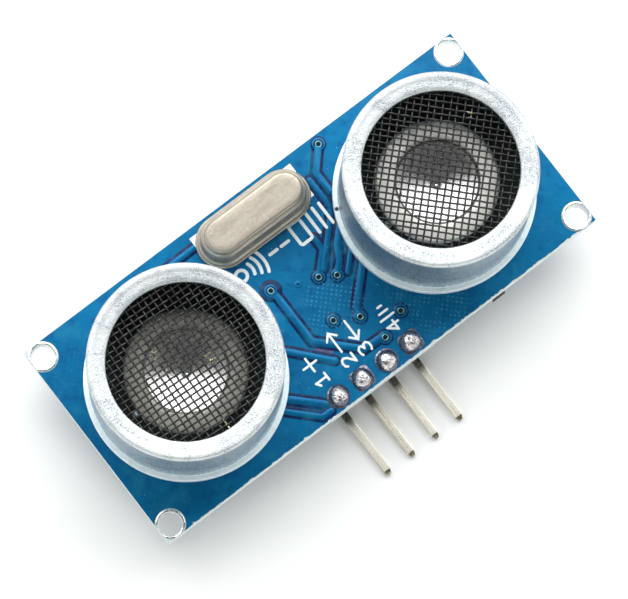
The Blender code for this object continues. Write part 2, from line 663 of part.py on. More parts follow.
def hang_from_board(name, mesh, size, finish, x, y, turn):
    underside = BOARD_BOTTOM - CLEARANCE - size[2]
    place(name, mesh, finish, None, BOARD_CENTRE + Vector((x, y, underside)), turn)


clear_scene()
MODEL = new_collection("ultrasonic_distance_sensor")
CUTTERS = new_collection("cutters")
MATERIALS = make_materials()
build_board()
build_transducer("transmitter", -TRANSDUCER_SPACING / 2)
build_transducer("receiver", TRANSDUCER_SPACING / 2)
build_crystal()
build_header()
build_joints()
build_chips()
build_passives()
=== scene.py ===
"""The looks of the ultrasonic distance sensor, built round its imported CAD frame.

Pieces are drawn in module millimetres: x and y from the middle of the circuit board, z up from its
front face, which the two transducers stand on. to_world() turns those into the frame's metres.
Nothing on the module moves, so every piece rides on the one body, root.
"""

import itertools
import math
import random

import bmesh
import bpy
import numpy as np
from mathutils import Matrix, Vector
from mathutils.geometry import tessellate_polygon


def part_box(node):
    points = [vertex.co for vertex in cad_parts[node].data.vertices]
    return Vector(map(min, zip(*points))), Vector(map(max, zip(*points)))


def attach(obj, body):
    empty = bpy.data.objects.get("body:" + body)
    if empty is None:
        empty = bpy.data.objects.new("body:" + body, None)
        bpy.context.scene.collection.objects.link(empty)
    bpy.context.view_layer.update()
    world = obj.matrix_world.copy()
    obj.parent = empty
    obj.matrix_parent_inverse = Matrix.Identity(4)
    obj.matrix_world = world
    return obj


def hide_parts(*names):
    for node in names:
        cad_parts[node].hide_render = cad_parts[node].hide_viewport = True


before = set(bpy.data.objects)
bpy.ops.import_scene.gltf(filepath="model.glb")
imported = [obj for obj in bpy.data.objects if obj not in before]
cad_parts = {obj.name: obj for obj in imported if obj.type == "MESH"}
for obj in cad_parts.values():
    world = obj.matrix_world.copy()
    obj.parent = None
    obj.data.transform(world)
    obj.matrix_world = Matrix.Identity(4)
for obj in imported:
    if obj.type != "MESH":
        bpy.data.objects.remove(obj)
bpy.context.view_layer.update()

MM = 0.001
BODY = "root"
SIDES = ("transmitter", "receiver")

# Board, from the CAD node's box; its lands stand proud of both faces
LAND_HEIGHT = 0.05
board_low, board_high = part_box("circuit_board")
ORIGIN = np.array(((board_low.x + board_high.x) / 2, (board_low.y + board_high.y) / 2,
                   board_high.z - LAND_HEIGHT * MM))
BOARD_LENGTH, BOARD_WIDTH, BOARD_DEPTH = np.array(board_high - board_low) / MM
THICKNESS = BOARD_DEPTH - 2 * LAND_HEIGHT
BACK = -THICKNESS
FLOOR = -ORIGIN[2] / MM
MASK = 0.03                    # thickness of the solder mask on each face


def to_world(points):
    return np.asarray(points, float).reshape(-1, 3) * MM + ORIGIN


def node_box(node):
    """A CAD node's lowest and highest corners in module millimetres."""
    low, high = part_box(node)
    return (np.array(low) - ORIGIN) / MM, (np.array(high) - ORIGIN) / MM


def node_middle(node):
    low, high = node_box(node)
    return (low + high) / 2


def add_object(name, data):
    obj = bpy.data.objects.new(name, data)
    bpy.context.scene.collection.objects.link(obj)
    return obj


# ---------------------------------------------------------------- materials


class Finish:
    """A Principled material whose pattern is measured in millimetres of the module."""

    def __init__(self, name, colour, roughness, metallic=0.0, **sockets):
        self.material = bpy.data.materials.new(name)
        self.material.use_nodes = True
        self.tree = self.material.node_tree
        self.shader = self.tree.nodes["Principled BSDF"]
        self.base = (*colour, 1.0)
        self.shader.inputs["Base Color"].default_value = self.base
        self.shader.inputs["Roughness"].default_value = roughness
        self.shader.inputs["Metallic"].default_value = metallic
        for socket, value in sockets.items():
            self.shader.inputs[socket.replace("_", " ")].default_value = value
        spot = self.tree.nodes.new("ShaderNodeTexCoord").outputs["Object"]
        self.place = self.vector("SCALE", spot, Scale=1 / MM)
        self.colour = None
        self.normal = None

    def node(self, kind, links=None, **settings):
        node = self.tree.nodes.new(kind)
        for key, value in settings.items():
            setattr(node, key, value)
        for socket, source in (links or {}).items():
            if isinstance(source, bpy.types.NodeSocket):
                self.tree.links.new(source, node.inputs[socket])
            else:
                node.inputs[socket].default_value = source
        return node

    def vector(self, operation, first, second=None, **sockets):
        links = {0: first, **sockets}
        if second is not None:
            links[1] = second
        node = self.node("ShaderNodeVectorMath", links, operation=operation)
        return node.outputs["Value" if operation == "DISTANCE" else "Vector"]

    def noise(self, size, detail=2.0, grain=0.5, stretch=(1, 1, 1), warp=0.0):
        """Cloudy noise; size is the width of a blotch in millimetres."""
        place = self.vector("MULTIPLY", self.place, stretch)
        node = self.node("ShaderNodeTexNoise", {"Vector": place, "Scale": 1 / size, "Detail": detail,
                                                "Roughness": grain, "Distortion": warp})
        return node.outputs["Fac"]

    def cells(self, size):
        """Distance to scattered points about size millimetres apart."""
        node = self.node("ShaderNodeTexVoronoi", {"Vector": self.place, "Scale": 1 / size})
        return node.outputs["Distance"]

    def near(self, x, y, z, radius):
        """1 at a point of the module, fading to 0 at radius millimetres from it."""
        gap = self.vector("DISTANCE", self.place, tuple(to_world([(x, y, z)])[0] / MM))
        return self.level(gap, radius, radius * 0.6)

    def along(self, axis, start, end):
        """0 to 1 between two places along one of the module's axes."""
        spot = self.node("ShaderNodeSeparateXYZ", {0: self.place}).outputs[axis]
        index = "XYZ".index(axis)
        return self.level(spot, *(to_world([[place] * 3])[0][index] / MM for place in (start, end)))

    def weave(self, pitch):
        """Glass cloth under the surface: high where two sets of threads cross."""
        turns = self.vector("SCALE", self.place, Scale=2 * math.pi / pitch)
        parts = self.node("ShaderNodeSeparateXYZ", {0: turns}).outputs
        waves = [self.node("ShaderNodeMath", {0: parts[axis]}, operation="SINE").outputs[0]
                 for axis in ("X", "Y")]
        return self.product(*waves)

    def level(self, value, low, high, to_low=0.0, to_high=1.0):
        """Spreads the values from low to high over another range, held at its ends."""
        node = self.node("ShaderNodeMapRange", {"Value": value, "From Min": low, "From Max": high,
                                                "To Min": to_low, "To Max": to_high})
        return node.outputs["Result"]

    def product(self, first, second):
        return self.node("ShaderNodeMath", {0: first, 1: second}, operation="MULTIPLY").outputs[0]

    def tint(self, colour, amount):
        """Turns the base colour towards another one where amount is high."""
        before = self.colour or self.base
        node = self.node("ShaderNodeMix", {0: amount, 6: before, 7: (*colour, 1.0)}, data_type="RGBA")
        self.colour = node.outputs[2]
        self.tree.links.new(self.colour, self.shader.inputs["Base Color"])
        return self

    def roughen(self, value, low, high):
        """Lets the roughness follow a pattern between two levels."""
        self.tree.links.new(self.level(value, 0.3, 0.7, low, high), self.shader.inputs["Roughness"])
        return self

    def relief(self, value, height):
        """Raises the surface by up to height millimetres where value is high."""
        links = {"Height": value, "Distance": height * MM}
        if self.normal:
            links["Normal"] = self.normal
        self.normal = self.node("ShaderNodeBump", links).outputs["Normal"]
        self.tree.links.new(self.normal, self.shader.inputs["Normal"])
        return self

    # Three everyday uses of cloudy noise; cloud and shape are what noise() takes

    def mottle(self, colour, window, *cloud, amount=1.0, **shape):
        """Tints the blotches where the noise rises through the window's two levels."""
        return self.tint(colour, self.level(self.noise(*cloud, **shape), *window, 0.0, amount))

    def uneven(self, low, high, *cloud):
        return self.roughen(self.noise(*cloud), low, high)

    def bumps(self, height, *cloud, **shape):
        return self.relief(self.noise(*cloud, **shape), height)

    def specks(self, colour, spacing, radius=0.05, amount=0.5):
        """Small round specks; radius is a share of the spacing between them."""
        return self.tint(colour, self.level(self.cells(spacing), radius, radius - 0.03, 0.0, amount))


# Patches of board where the glass cloth shows through the mask: x, y, z, radius
CLOTH_SHOWS = ((0.6, -2.2, 0.0, 3.0), (8.0, -6.4, 0.0, 4.2))


def solder_mask(name, colour, deep, metallic):
    """Glossy translucent lacquer; over copper it throws light back like dull blue metal.

    The glass cloth below shows faintly, and clearly at the spots in CLOTH_SHOWS.
    """
    f = Finish(name, colour, 0.40, metallic, Specular_IOR_Level=0.12, Coat_Weight=0.14,
               Coat_Roughness=0.12, Coat_IOR=1.45)
    threads = f.weave(0.55)
    f.mottle(deep, (0.35, 0.75), 6.0, 2.0)
    broken = f.level(f.noise(0.9, 2.0), 0.38, 0.62)
    crossings = f.product(f.level(threads, 0.25, 0.9), broken)
    faint = f.level(f.noise(6.0), 0.53, 0.66, 0.0, 0.3)
    f.tint((0.045, 0.250, 0.440), f.product(crossings, faint))
    for patch in CLOTH_SHOWS:
        f.tint((0.050, 0.250, 0.430), f.product(crossings, f.near(*patch)))
    f.mottle((0.018, 0.190, 0.340), (0.50, 0.72), 1.7, 2.0, 0.6, warp=0.6, amount=0.45)
    f.mottle((0.001, 0.060, 0.200), (0.52, 0.70), 1.1, 2.0, 0.6, stretch=(1.0, 1.0, 3.0), amount=0.5)
    f.mottle((0.030, 0.230, 0.430), (0.58, 0.85), 0.4, 3.0, 0.7, amount=0.35)
    f.specks((0.30, 0.55, 0.70), 1.1)
    f.uneven(0.34, 0.46, 1.6, 3.0)
    f.relief(threads, 0.0012)
    f.bumps(0.016, 2.2, 1.0)
    return f.bumps(0.0030, 0.35, 2.0)


def mask_over_copper():
    return solder_mask("mask_over_copper", (0.001, 0.143, 0.312), (0.001, 0.096, 0.235), 0.45)


def mask_over_laminate():
    return solder_mask("mask_over_laminate", (0.001, 0.016, 0.075), (0.005, 0.012, 0.060), 0.10)


def stripped_patch():
    """Bare resin between two tracks, with a brownish purple cast through the mask."""
    f = Finish("stripped_patch", (0.050, 0.050, 0.150), 0.40, Coat_Weight=0.2, Coat_Roughness=0.15)
    f.mottle((0.090, 0.080, 0.190), (0.45, 0.70), 0.5, 2.0)
    f.uneven(0.34, 0.5, 0.6)
    return f.bumps(0.004, 0.35, 2.0)


def laminate():
    """Cut glass-fibre board: pale resin with fine glass threads along it."""
    f = Finish("laminate", (0.56, 0.64, 0.63), 0.62, Subsurface_Weight=0.12, Subsurface_Scale=0.0004)
    threads = f.noise(0.9, 3.0, 0.6, stretch=(0.5, 0.5, 14.0))
    f.tint((0.70, 0.78, 0.78), f.level(threads, 0.45, 0.70))
    f.mottle((0.36, 0.42, 0.36), (0.62, 0.80), 0.16, 2.0, amount=0.6)
    f.roughen(threads, 0.5, 0.75)
    f.relief(threads, 0.02)
    return f.bumps(0.01, 0.08, 2.0)


def tin_plate():
    f = Finish("tin_plate", (0.80, 0.82, 0.82), 0.24, 1.0)
    f.mottle((0.55, 0.58, 0.60), (0.55, 0.80), 0.5, 3.0)
    f.uneven(0.16, 0.38, 0.3, 2.0)
    return f.bumps(0.02, 0.45, 2.0)


def solder():
    """Bright solder with the frosty grain and flux specks of a hand-made joint."""
    f = Finish("solder", (0.78, 0.75, 0.73), 0.30, 1.0)
    f.mottle((0.10, 0.075, 0.09), (0.52, 0.60), 0.24, 3.0, 0.65, amount=0.9)
    f.mottle((0.40, 0.37, 0.42), (0.46, 0.66), 0.6, 2.0, amount=0.8)
    f.uneven(0.20, 0.46, 0.25, 2.0)
    f.bumps(0.09, 0.30, 2.0, 0.6)
    return f.relief(f.cells(0.14), 0.012)


def flux_stain():
    """The skirt of a joint, dulled by a purplish film of burnt flux."""
    f = Finish("flux_stain", (0.150, 0.148, 0.185), 0.30, 0.8)
    f.mottle((0.38, 0.39, 0.44), (0.52, 0.68), 0.24, 3.0, 0.6, amount=0.8)
    f.mottle((0.05, 0.07, 0.14), (0.50, 0.70), 0.5, 2.0, amount=0.8)
    f.uneven(0.2, 0.45, 0.25, 2.0)
    return f.bumps(0.04, 0.30, 2.0, 0.6)


def via_plating():
    """Plated rim of a via, seen through a thin greenish film of lacquer."""
    f = Finish("via_plating", (0.20, 0.40, 0.38), 0.30, 1.0)
    f.mottle((0.10, 0.26, 0.27), (0.45, 0.65), 0.14, 2.0)
    f.uneven(0.22, 0.45, 0.2)
    return f.bumps(0.006, 0.12, 2.0)


def via_hole_shade():
    """A near-black finish of low gloss for the plug in a via's hole: painted shade standing in for the
    shade inside it.
    """
    f = Finish("via_hole_shade", (0.004, 0.012, 0.022), 0.70, Specular_IOR_Level=0.1)
    f.mottle((0.012, 0.030, 0.050), (0.50, 0.75), 0.10, 2.0)
    f.uneven(0.6, 0.8, 0.1)
    return f.bumps(0.006, 0.08, 2.0)


def print_ink():
    f = Finish("print_ink", (0.90, 0.93, 0.93), 0.55)
    f.mottle((0.62, 0.74, 0.82), (0.56, 0.80), 0.16, 3.0, amount=0.7)
    f.uneven(0.45, 0.7, 0.2)
    return f.bumps(0.008, 0.10, 3.0)


def frosted_aluminium():
    """Tumbled aluminium: a fine frosted sparkle, faint smears and a few small marks."""
    f = Finish("frosted_aluminium", (0.64, 0.67, 0.68), 0.42, 1.0)
    speckle = f.noise(0.12, 2.0, 0.8)
    smear = f.noise(2.6, 3.0, 0.6, warp=0.8)
    worn = f.product(f.level(speckle, 0.47, 0.64), f.level(smear, 0.44, 0.56, 0.2, 1.0))
    f.tint((0.17, 0.205, 0.23), worn)
    f.tint((0.46, 0.50, 0.53), f.level(smear, 0.50, 0.66, 0.0, 0.5))
    f.specks((0.28, 0.30, 0.33), 0.8, 0.06, 0.6)
    f.roughen(speckle, 0.36, 0.58)
    f.relief(speckle, 0.034)
    return f.bumps(0.015, 0.45, 2.0)


def drawn_aluminium():
    """The can's side: smoother, with upright draw lines and scuffs. Its blue tint is a painted reflection
    of the blue board, and it is painted darker towards the top as shade under the rim.
    """
    f = Finish("drawn_aluminium", (0.45, 0.56, 0.62), 0.32, 0.85)
    lines = f.noise(0.5, 4.0, 0.65, stretch=(3.0, 3.0, 0.35))
    scuffs = f.noise(0.22, 3.0, 0.75)
    f.tint((0.22, 0.31, 0.36), f.level(lines, 0.44, 0.62, 0.0, 0.9))
    f.tint((0.80, 0.88, 0.92), f.level(scuffs, 0.56, 0.70, 0.0, 0.85))
    f.mottle((0.15, 0.21, 0.25), (0.54, 0.70), 1.4, 3.0, amount=0.6)
    # Painted shade: darker and bluer towards the top of the side, under the rim
    f.tint((0.13, 0.21, 0.27), f.product(f.along("Z", 3.0, 11.0), 0.6))
    f.roughen(scuffs, 0.24, 0.42)
    f.relief(lines, 0.012)
    return f.relief(scuffs, 0.010)


def flange_aluminium(side):
    """The matt pressed flange round a can's foot, painted paler than the can's metal as painted light on
    its ledge; the receiver's has painted shade in its dimple.
    """
    # Pale blue-white and little metallic: painted light, so the ledge stays bright where the can shades
    # it
    f = Finish(f"{side}_flange_aluminium", (0.80, 0.90, 0.94), 0.45, 0.25)
    f.mottle((0.58, 0.68, 0.73), (0.50, 0.75), 0.6, 3.0, 0.6, amount=0.7)
    f.mottle((0.42, 0.50, 0.55), (0.62, 0.80), 0.12, 2.0, amount=0.5)
    if side == "receiver":
        # Painted shade: near-black in the receiver's dimple, where shade falls in the pit
        f.tint((0.020, 0.020, 0.022), f.near(*dimple_middle(), DIMPLE_HEIGHT, DIMPLE_RADIUS * 1.4))
    f.uneven(0.36, 0.55, 0.3)
    return f.bumps(0.006, 0.3, 2.0)


def screen_wire(side):
    """Dark annealed wire, rubbed lighter in places, with a few painted highlights: brassy glints painted
    on it.
    """
    f = Finish(f"{side}_wire", (0.066, 0.066, 0.064), 0.38, 1.0)
    f.mottle((0.110, 0.107, 0.103), (0.52, 0.75), 0.7, 3.0, 0.6, amount=0.8)
    f.mottle((0.028, 0.027, 0.026), (0.50, 0.75), 2.4, 2.0, amount=0.7)
    for x, y, radius in GLINTS[side]:
        # Painted highlight: brassy glints near each spot in GLINTS
        painted_glint_spots = f.level(f.noise(0.16), 0.50, 0.58)
        f.tint((0.85, 0.78, 0.52), f.product(f.near(x, y, SCREEN_TOP, radius), painted_glint_spots))
    f.uneven(0.28, 0.5, 0.2)
    return f.bumps(0.006, 0.06, 2.0)


def cone_metal(name, colour, shade, roughness, ripple):
    """Pressed sheet metal; ripple is the height of its unevenness in millimetres."""
    f = Finish(name, colour, roughness, 1.0)
    f.mottle(shade, (0.45, 0.75), 1.1, 3.0, 0.6, amount=0.8)
    f.mottle(tuple(c * 0.6 for c in shade), (0.60, 0.80), 0.12, 2.0, amount=0.5)
    f.uneven(roughness - 0.05, roughness + 0.08, 0.5, 2.0)
    return f.bumps(ripple, 0.25, 3.0)


def crystal_metal():
    """Warm nickel plate, satin from the drawing die, with long faint draw lines."""
    f = Finish("crystal_metal", (0.40, 0.36, 0.30), 0.36, 0.8)
    drawn = f.noise(0.9, 4.0, 0.65, stretch=(0.35, 1.6, 1.0))
    f.tint((0.31, 0.27, 0.23), f.level(drawn, 0.45, 0.70, 0.0, 0.8))
    f.mottle((0.56, 0.53, 0.48), (0.52, 0.74), 0.30, 3.0, 0.7, amount=0.5)
    f.mottle((0.26, 0.22, 0.19), (0.60, 0.75), 0.18, 2.0, amount=0.5)
    f.specks((0.26, 0.235, 0.20), 0.7)
    f.roughen(drawn, 0.32, 0.48)
    f.bumps(0.012, 1.3, 2.0)
    return f.bumps(0.004, 0.12, 2.0, stretch=(0.3, 1.5, 1.0))


def pin_plating():
    """Pale gold-tin plate on square wire, with draw lines along the pin, painted darker near the board as
    the board's shadow.
    """
    f = Finish("pin_plating", (0.88, 0.85, 0.74), 0.26, 1.0)
    lines = f.noise(0.09, 2.0, 0.5, stretch=(1.0, 0.008, 1.0))
    f.tint((0.36, 0.33, 0.24), f.level(lines, 0.52, 0.60, 0.0, 0.8))
    f.mottle((0.90, 0.88, 0.82), (0.55, 0.75), 0.8, 2.0, amount=0.6)
    # Painted shadow: darker over the stretch nearest the board's edge, where the board shades the pin
    f.tint((0.19, 0.18, 0.15), f.along("Y", -BOARD_WIDTH / 2 - 1.15, -BOARD_WIDTH / 2 - 0.45))
    f.roughen(lines, 0.22, 0.42)
    return f.relief(lines, 0.0015)


def pin_root_shadow():
    """Plating near the bend, painted dark as the shadow that the board casts there."""
    f = Finish("pin_root_shadow", (0.24, 0.23, 0.19), 0.42, 1.0)
    f.mottle((0.09, 0.085, 0.07), (0.45, 0.65), 0.35, 2.0)
    f.uneven(0.32, 0.52, 0.2)
    return f.bumps(0.004, 0.15, 2.0)


def pin_tip_shade():
    """Cut and tapered end of a pin, painted dark as shade on its tapered facets, with lighter patches."""
    f = Finish("pin_tip_shade", (0.22, 0.19, 0.13), 0.30, 1.0)
    f.mottle((0.62, 0.58, 0.46), (0.55, 0.66), 0.20, 2.0)
    f.uneven(0.22, 0.4, 0.1)
    return f.bumps(0.004, 0.10, 2.0)


def dark_moulding(name, colour, roughness):
    f = Finish(name, colour, roughness, Specular_IOR_Level=0.45)
    f.mottle(tuple(c * 2.2 + 0.004 for c in colour), (0.55, 0.80), 0.12, 3.0, 0.7)
    f.specks((0.10, 0.10, 0.10), 0.55)
    f.uneven(roughness - 0.08, roughness + 0.12, 0.4, 2.0)
    return f.bumps(0.010, 0.07, 2.0)


def tinned_wire():
    f = Finish("tinned_wire", (0.78, 0.78, 0.76), 0.28, 1.0)
    f.mottle((0.52, 0.52, 0.51), (0.50, 0.75), 0.25, 3.0, stretch=(1, 1, 0.2))
    f.uneven(0.2, 0.42, 0.2)
    return f.bumps(0.01, 0.12, 2.0, stretch=(1, 1, 0.2))


def fired_ceramic(name, colour, fleck, roughness=0.5):
    f = Finish(name, colour, roughness)
    f.mottle(fleck, (0.50, 0.80), 0.10, 3.0, 0.7, amount=0.8)
    f.mottle(tuple(c * 0.7 for c in colour), (0.50, 0.75), 0.8, 2.0, amount=0.7)
    f.uneven(roughness - 0.1, roughness + 0.15, 0.15)
    return f.bumps(0.006, 0.06, 2.0)


def plate_brass():
    f = Finish("plate_brass", (0.80, 0.62, 0.30), 0.32, 1.0)
    f.mottle((0.52, 0.36, 0.16), (0.50, 0.80), 0.6, 3.0)
    f.uneven(0.25, 0.45, 0.3)
    return f.bumps(0.01, 0.2, 2.0)


def silicone():
    f = Finish("silicone", (0.72, 0.71, 0.67), 0.55, Subsurface_Weight=0.3, Subsurface_Scale=0.0008)
    f.mottle((0.58, 0.56, 0.50), (0.45, 0.75), 0.7, 2.0)
    f.uneven(0.45, 0.7, 0.3)
    return f.bumps(0.03, 0.4, 2.0)


def quartz():
    f = Finish("quartz", (0.90, 0.93, 0.94), 0.06, Transmission_Weight=0.7, IOR=1.54)
    f.mottle((0.78, 0.80, 0.80), (0.45, 0.75), 0.6, 2.0)
    f.uneven(0.04, 0.14, 0.3)
    return f.bumps(0.004, 0.3, 2.0)


def floor_paper():
    f = Finish("floor_paper", (0.90, 0.905, 0.90), 0.85, Specular_IOR_Level=0.15)
    f.mottle((0.885, 0.89, 0.89), (0.40, 0.70), 30.0, 3.0)
    f.uneven(0.8, 0.92, 4.0)
    return f.bumps(0.01, 0.6, 3.0)


# ---------------------------------------------------------------- mesh making


class Shape:
    """Vertices and faces in module millimetres; paint numbers a face's material."""

    def __init__(self):
        self.verts = []
        self.faces = []
        self.paints = []

    def add(self, made, paint=0):
        """paint is one number, or one for each face."""
        verts, faces = made
        first = len(self.verts)
        self.verts += [tuple(map(float, v)) for v in verts]
        self.faces += [tuple(first + i for i in face) for face in faces]
        self.paints += [paint] * len(faces) if isinstance(paint, int) else list(paint)
        return self


def piece(name, shape, finishes, stands_for=(), sharp=38.0):
    """Makes one named piece of the module, which stands for the CAD nodes it shows."""
    mesh = bpy.data.meshes.new(name)
    mesh.from_pydata(to_world(shape.verts).tolist(), [], shape.faces)
    for finish in finishes:
        mesh.materials.append(finish.material)
    mesh.polygons.foreach_set("material_index", shape.paints)
    bm = bmesh.new()
    bm.from_mesh(mesh)
    bmesh.ops.remove_doubles(bm, verts=bm.verts, dist=0.0002 * MM)
    bmesh.ops.recalc_face_normals(bm, faces=bm.faces)
    bm.to_mesh(mesh)
    bm.free()
    mesh.shade_smooth()
    mesh.set_sharp_from_angle(angle=math.radians(sharp))
    obj = add_object(name, mesh)
    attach(obj, BODY)
    if stands_for:
        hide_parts(*stands_for)
    return obj


def circle(radius, steps, x=0.0, y=0.0, start=0.0):
    turns = (start + 2 * math.pi * i / steps for i in range(steps))
    return [(x + radius * math.cos(a), y + radius * math.sin(a)) for a in turns]


def arc(x, y, radius, start, end, steps):
    """Points on an arc from start to end, both in degrees."""
    angles = (math.radians(start + (end - start) * i / steps) for i in range(steps + 1))
    return [(x + radius * math.cos(a), y + radius * math.sin(a)) for a in angles]


def rectangle(length, width, x=0.0, y=0.0):
    half_x = length / 2
    half_y = width / 2
    return [(x + half_x, y - half_y), (x + half_x, y + half_y),
            (x - half_x, y + half_y), (x - half_x, y - half_y)]


def rounded_rectangle(length, width, radius, x=0.0, y=0.0, steps=5):
    reach_x = length / 2 - radius
    reach_y = width / 2 - radius
    corners = ((reach_x, -reach_y, -90), (reach_x, reach_y, 0),
               (-reach_x, reach_y, 90), (-reach_x, -reach_y, 180))
    return [point for cx, cy, start in corners
            for point in arc(x + cx, y + cy, radius, start, start + 90, steps)]


def skin(rings, loop=False, capped=False):
    """Joins rings of equally many points; loop joins the last ring to the first."""
    count = len(rings[0])
    verts = [point for ring in rings for point in ring]
    faces = []
    for row in range(len(rings) if loop else len(rings) - 1):
        here = row * count
        there = (row + 1) % len(rings) * count
        for i in range(count):
            j = (i + 1) % count
            faces.append((here + i, here + j, there + j, there + i))
    if capped:
        last = len(verts) - count
        faces.append(tuple(range(count))[::-1])
        faces.append(tuple(range(last, last + count)))
    return verts, faces


def at_height(loop, z):
    return [(x, y, z) for x, y in loop]


def lathe(profile, steps, x=0.0, y=0.0, z=0.0, loop=False, wobble=None):
    """Turns a list of (radius, height) about a vertical axis."""
    rings = []
    for radius, height in profile:
        ring = at_height(circle(max(radius, 0.004), steps, x, y), z + height)
        rings.append(wobble(ring) if wobble else ring)
    return skin(rings, loop=loop, capped=not loop)


def plate(loops, low, high):
    """A flat outline with its holes, between two heights."""
    flat = [point for loop in loops for point in loop]
    triangles = tessellate_polygon([[Vector((x, y, 0)) for x, y in loop] for loop in loops])
    count = len(flat)
    verts = at_height(flat, low) + at_height(flat, high)
    faces = [tuple(t) for t in triangles] + [tuple(i + count for i in t) for t in triangles]
    first = 0
    for loop in loops:
        for i in range(len(loop)):
            a = first + i
            b = first + (i + 1) % len(loop)
            faces.append((a, b, b + count, a + count))
        first += len(loop)
    return verts, faces


def pillow(loop_at, levels):
    """Stacks the outlines loop_at(inset) at each (inset, height) into a closed solid."""
    return skin([at_height(loop_at(inset), height) for inset, height in levels], capped=True)


def slab(length, width, low, high, x=0.0, y=0.0, radius=0.1, edge=0.05):
    """A box with rounded upright corners and softened rims."""
    def outline(inset):
        return rounded_rectangle(length - 2 * inset, width - 2 * inset, max(radius - inset, 0.01), x, y)
    return pillow(outline, [(edge, low), (edge * 0.3, low + edge * 0.3), (0, low + edge),
                            (0, high - edge), (edge * 0.3, high - edge * 0.3), (edge, high)])


def block(length, width, radius, levels, x, y):
    """Rounded rectangles of one corner radius, stacked at each (inset, height)."""
    def outline(inset):
        return rounded_rectangle(length - 2 * inset, width - 2 * inset, radius, x, y, 3)
    return pillow(outline, levels)


def ribbon(path, width, low, high, slope=0.0, closed=False, rounded=False):
    """A flat strip along a path of (x, y) points; its sides lean in by slope."""
    points = [np.array(p, float) for p in path]
    halves = [width / 2] * len(points)
    if rounded:
        steps = 5
        turns = [math.pi / 2 * i / steps for i in range(1, steps + 1)]
        for end, inner in ((0, 1), (-1, -2)):
            away = points[end] - points[inner]
            away /= np.linalg.norm(away)
            tip = points[end].copy()
            extra = [(tip + away * width / 2 * math.sin(t), max(width / 2 * math.cos(t), 0.004))
                     for t in turns]
            for spot, half in extra:
                where = 0 if end == 0 else len(points)
                points.insert(where, spot)
                halves.insert(where, half)
    count = len(points)
    rings = []
    for i, (point, half) in enumerate(zip(points, halves)):
        before = points[i - 1] if i or closed else None
        after = points[(i + 1) % count] if i < count - 1 or closed else None
        ways = []
        if before is not None:
            ways.append((point - before) / np.linalg.norm(point - before))
        if after is not None:
            ways.append((after - point) / np.linalg.norm(after - point))
        way = sum(ways) / np.linalg.norm(sum(ways))
        mitre = 1 / max(float(np.dot(way, ways[0])), 0.5)
        side = np.array((-way[1], way[0])) * mitre
        inner = max(half - slope, half * 0.2)
        rings.append([(*(point - side * half), low), (*(point - side * inner), high),
                      (*(point + side * inner), high), (*(point + side * half), low)])
    return skin(rings, loop=closed, capped=not closed)


def sweep(path, section, scales=None, up=(0.0, 0.0, 1.0)):
    """Carries a closed section of (side, lift) points along a path of 3-D points."""
    path = np.asarray(path, float)
    ways = np.gradient(path, axis=0)
    ways /= np.linalg.norm(ways, axis=1)[:, None]
    lift = np.array(up, float)
    rings = []
    for i, (point, way) in enumerate(zip(path, ways)):
        lift = lift - way * np.dot(lift, way)
        lift /= np.linalg.norm(lift)
        side = np.cross(way, lift)
        scale = scales[i] if scales is not None else 1.0
        rings.append([tuple(point + (side * s + lift * t) * scale) for s, t in section])
    return skin(rings, capped=True)


# ---------------------------------------------------------------- circuit board

HOLE_RADIUS = 1.0              # corner mounting holes, and the plated lands round them
HOLE_X = 21.4
HOLE_Y = 8.8
LAND_RADIUS = 1.25
LAND_STEPS = 48

# Vias that go right through, and tented ones, from the board's middle
VIAS = ((-2.9, 1.7), (1.0, 0.2), (2.35, -0.6), (-0.25, -3.45), (1.75, -4.55), (2.35, -7.2),
        (4.75, -6.2), (7.85, 9.2))
TENTED_VIAS = ((-0.75, 0.75), (-2.2, -6.2), (5.9, -7.4), (7.2, -8.1), (6.5, -8.9), (8.2, -9.2))
VIA_HOLE = 0.20
VIA_RING = 0.285
VIA_GAP = 0.70                 # radius of the ring etched free of copper round a via
WIDE_VIA_GAP = 0.98            # and round the first one

# Tracks on the front: width, then the corners of each route
FRONT_TRACKS = (
    (0.62, ((-2.9, 1.7), (-2.75, 0.9), (-2.75, -3.75), (0.35, -6.9), (2.35, -7.0))),
    (0.55, ((-6.2, -1.9), (-4.8, -3.3), (-2.2, -6.2))),
    (0.62, ((-9.0, -4.7), (-8.0, -5.7), (-4.9, -8.8), (-3.81, -8.8))),
    (0.50, ((-9.6, -5.6), (-5.9, -9.35), (-5.0, -9.35))),
    (0.52, ((1.0, 0.2), (2.7, 1.9), (2.7, 3.1))),
    (0.50, ((1.75, 0.5), (4.6, 3.4), (5.4, 4.4), (5.4, 7.2))),
    (0.55, ((2.35, -0.6), (3.3, 0.35), (3.9, 1.5), (5.3, 2.9))),
    (0.60, ((1.75, -4.55), (2.0, -3.7), (4.9, -0.8), (6.0, 0.3))),
    (0.42, ((3.2, -0.9), (4.8, 0.7))),
    (0.60, ((7.85, 9.2), (6.2, 7.4), (6.2, 5.4), (7.0, 4.4))),
    (0.50, ((-9.5, 8.5), (-5.4, 8.5))),
    (0.45, ((-7.6, 6.1), (-5.6, 6.1))),
)
BARE_PATCHES = (((-3.25, -4.35), (-2.6, -4.55), (-1.75, -5.45), (-2.1, -5.75), (-3.1, -4.75)),
                ((1.95, 0.65), (2.95, 0.85), (4.9, 3.05), (4.3, 3.45)))
TRACK_GAP = 0.25               # bare strip beside a track, where the copper is etched away
TRACK_HEIGHT = 0.024
TRACK_STEP = 0.0006            # each track is this much higher than the last, where they cross

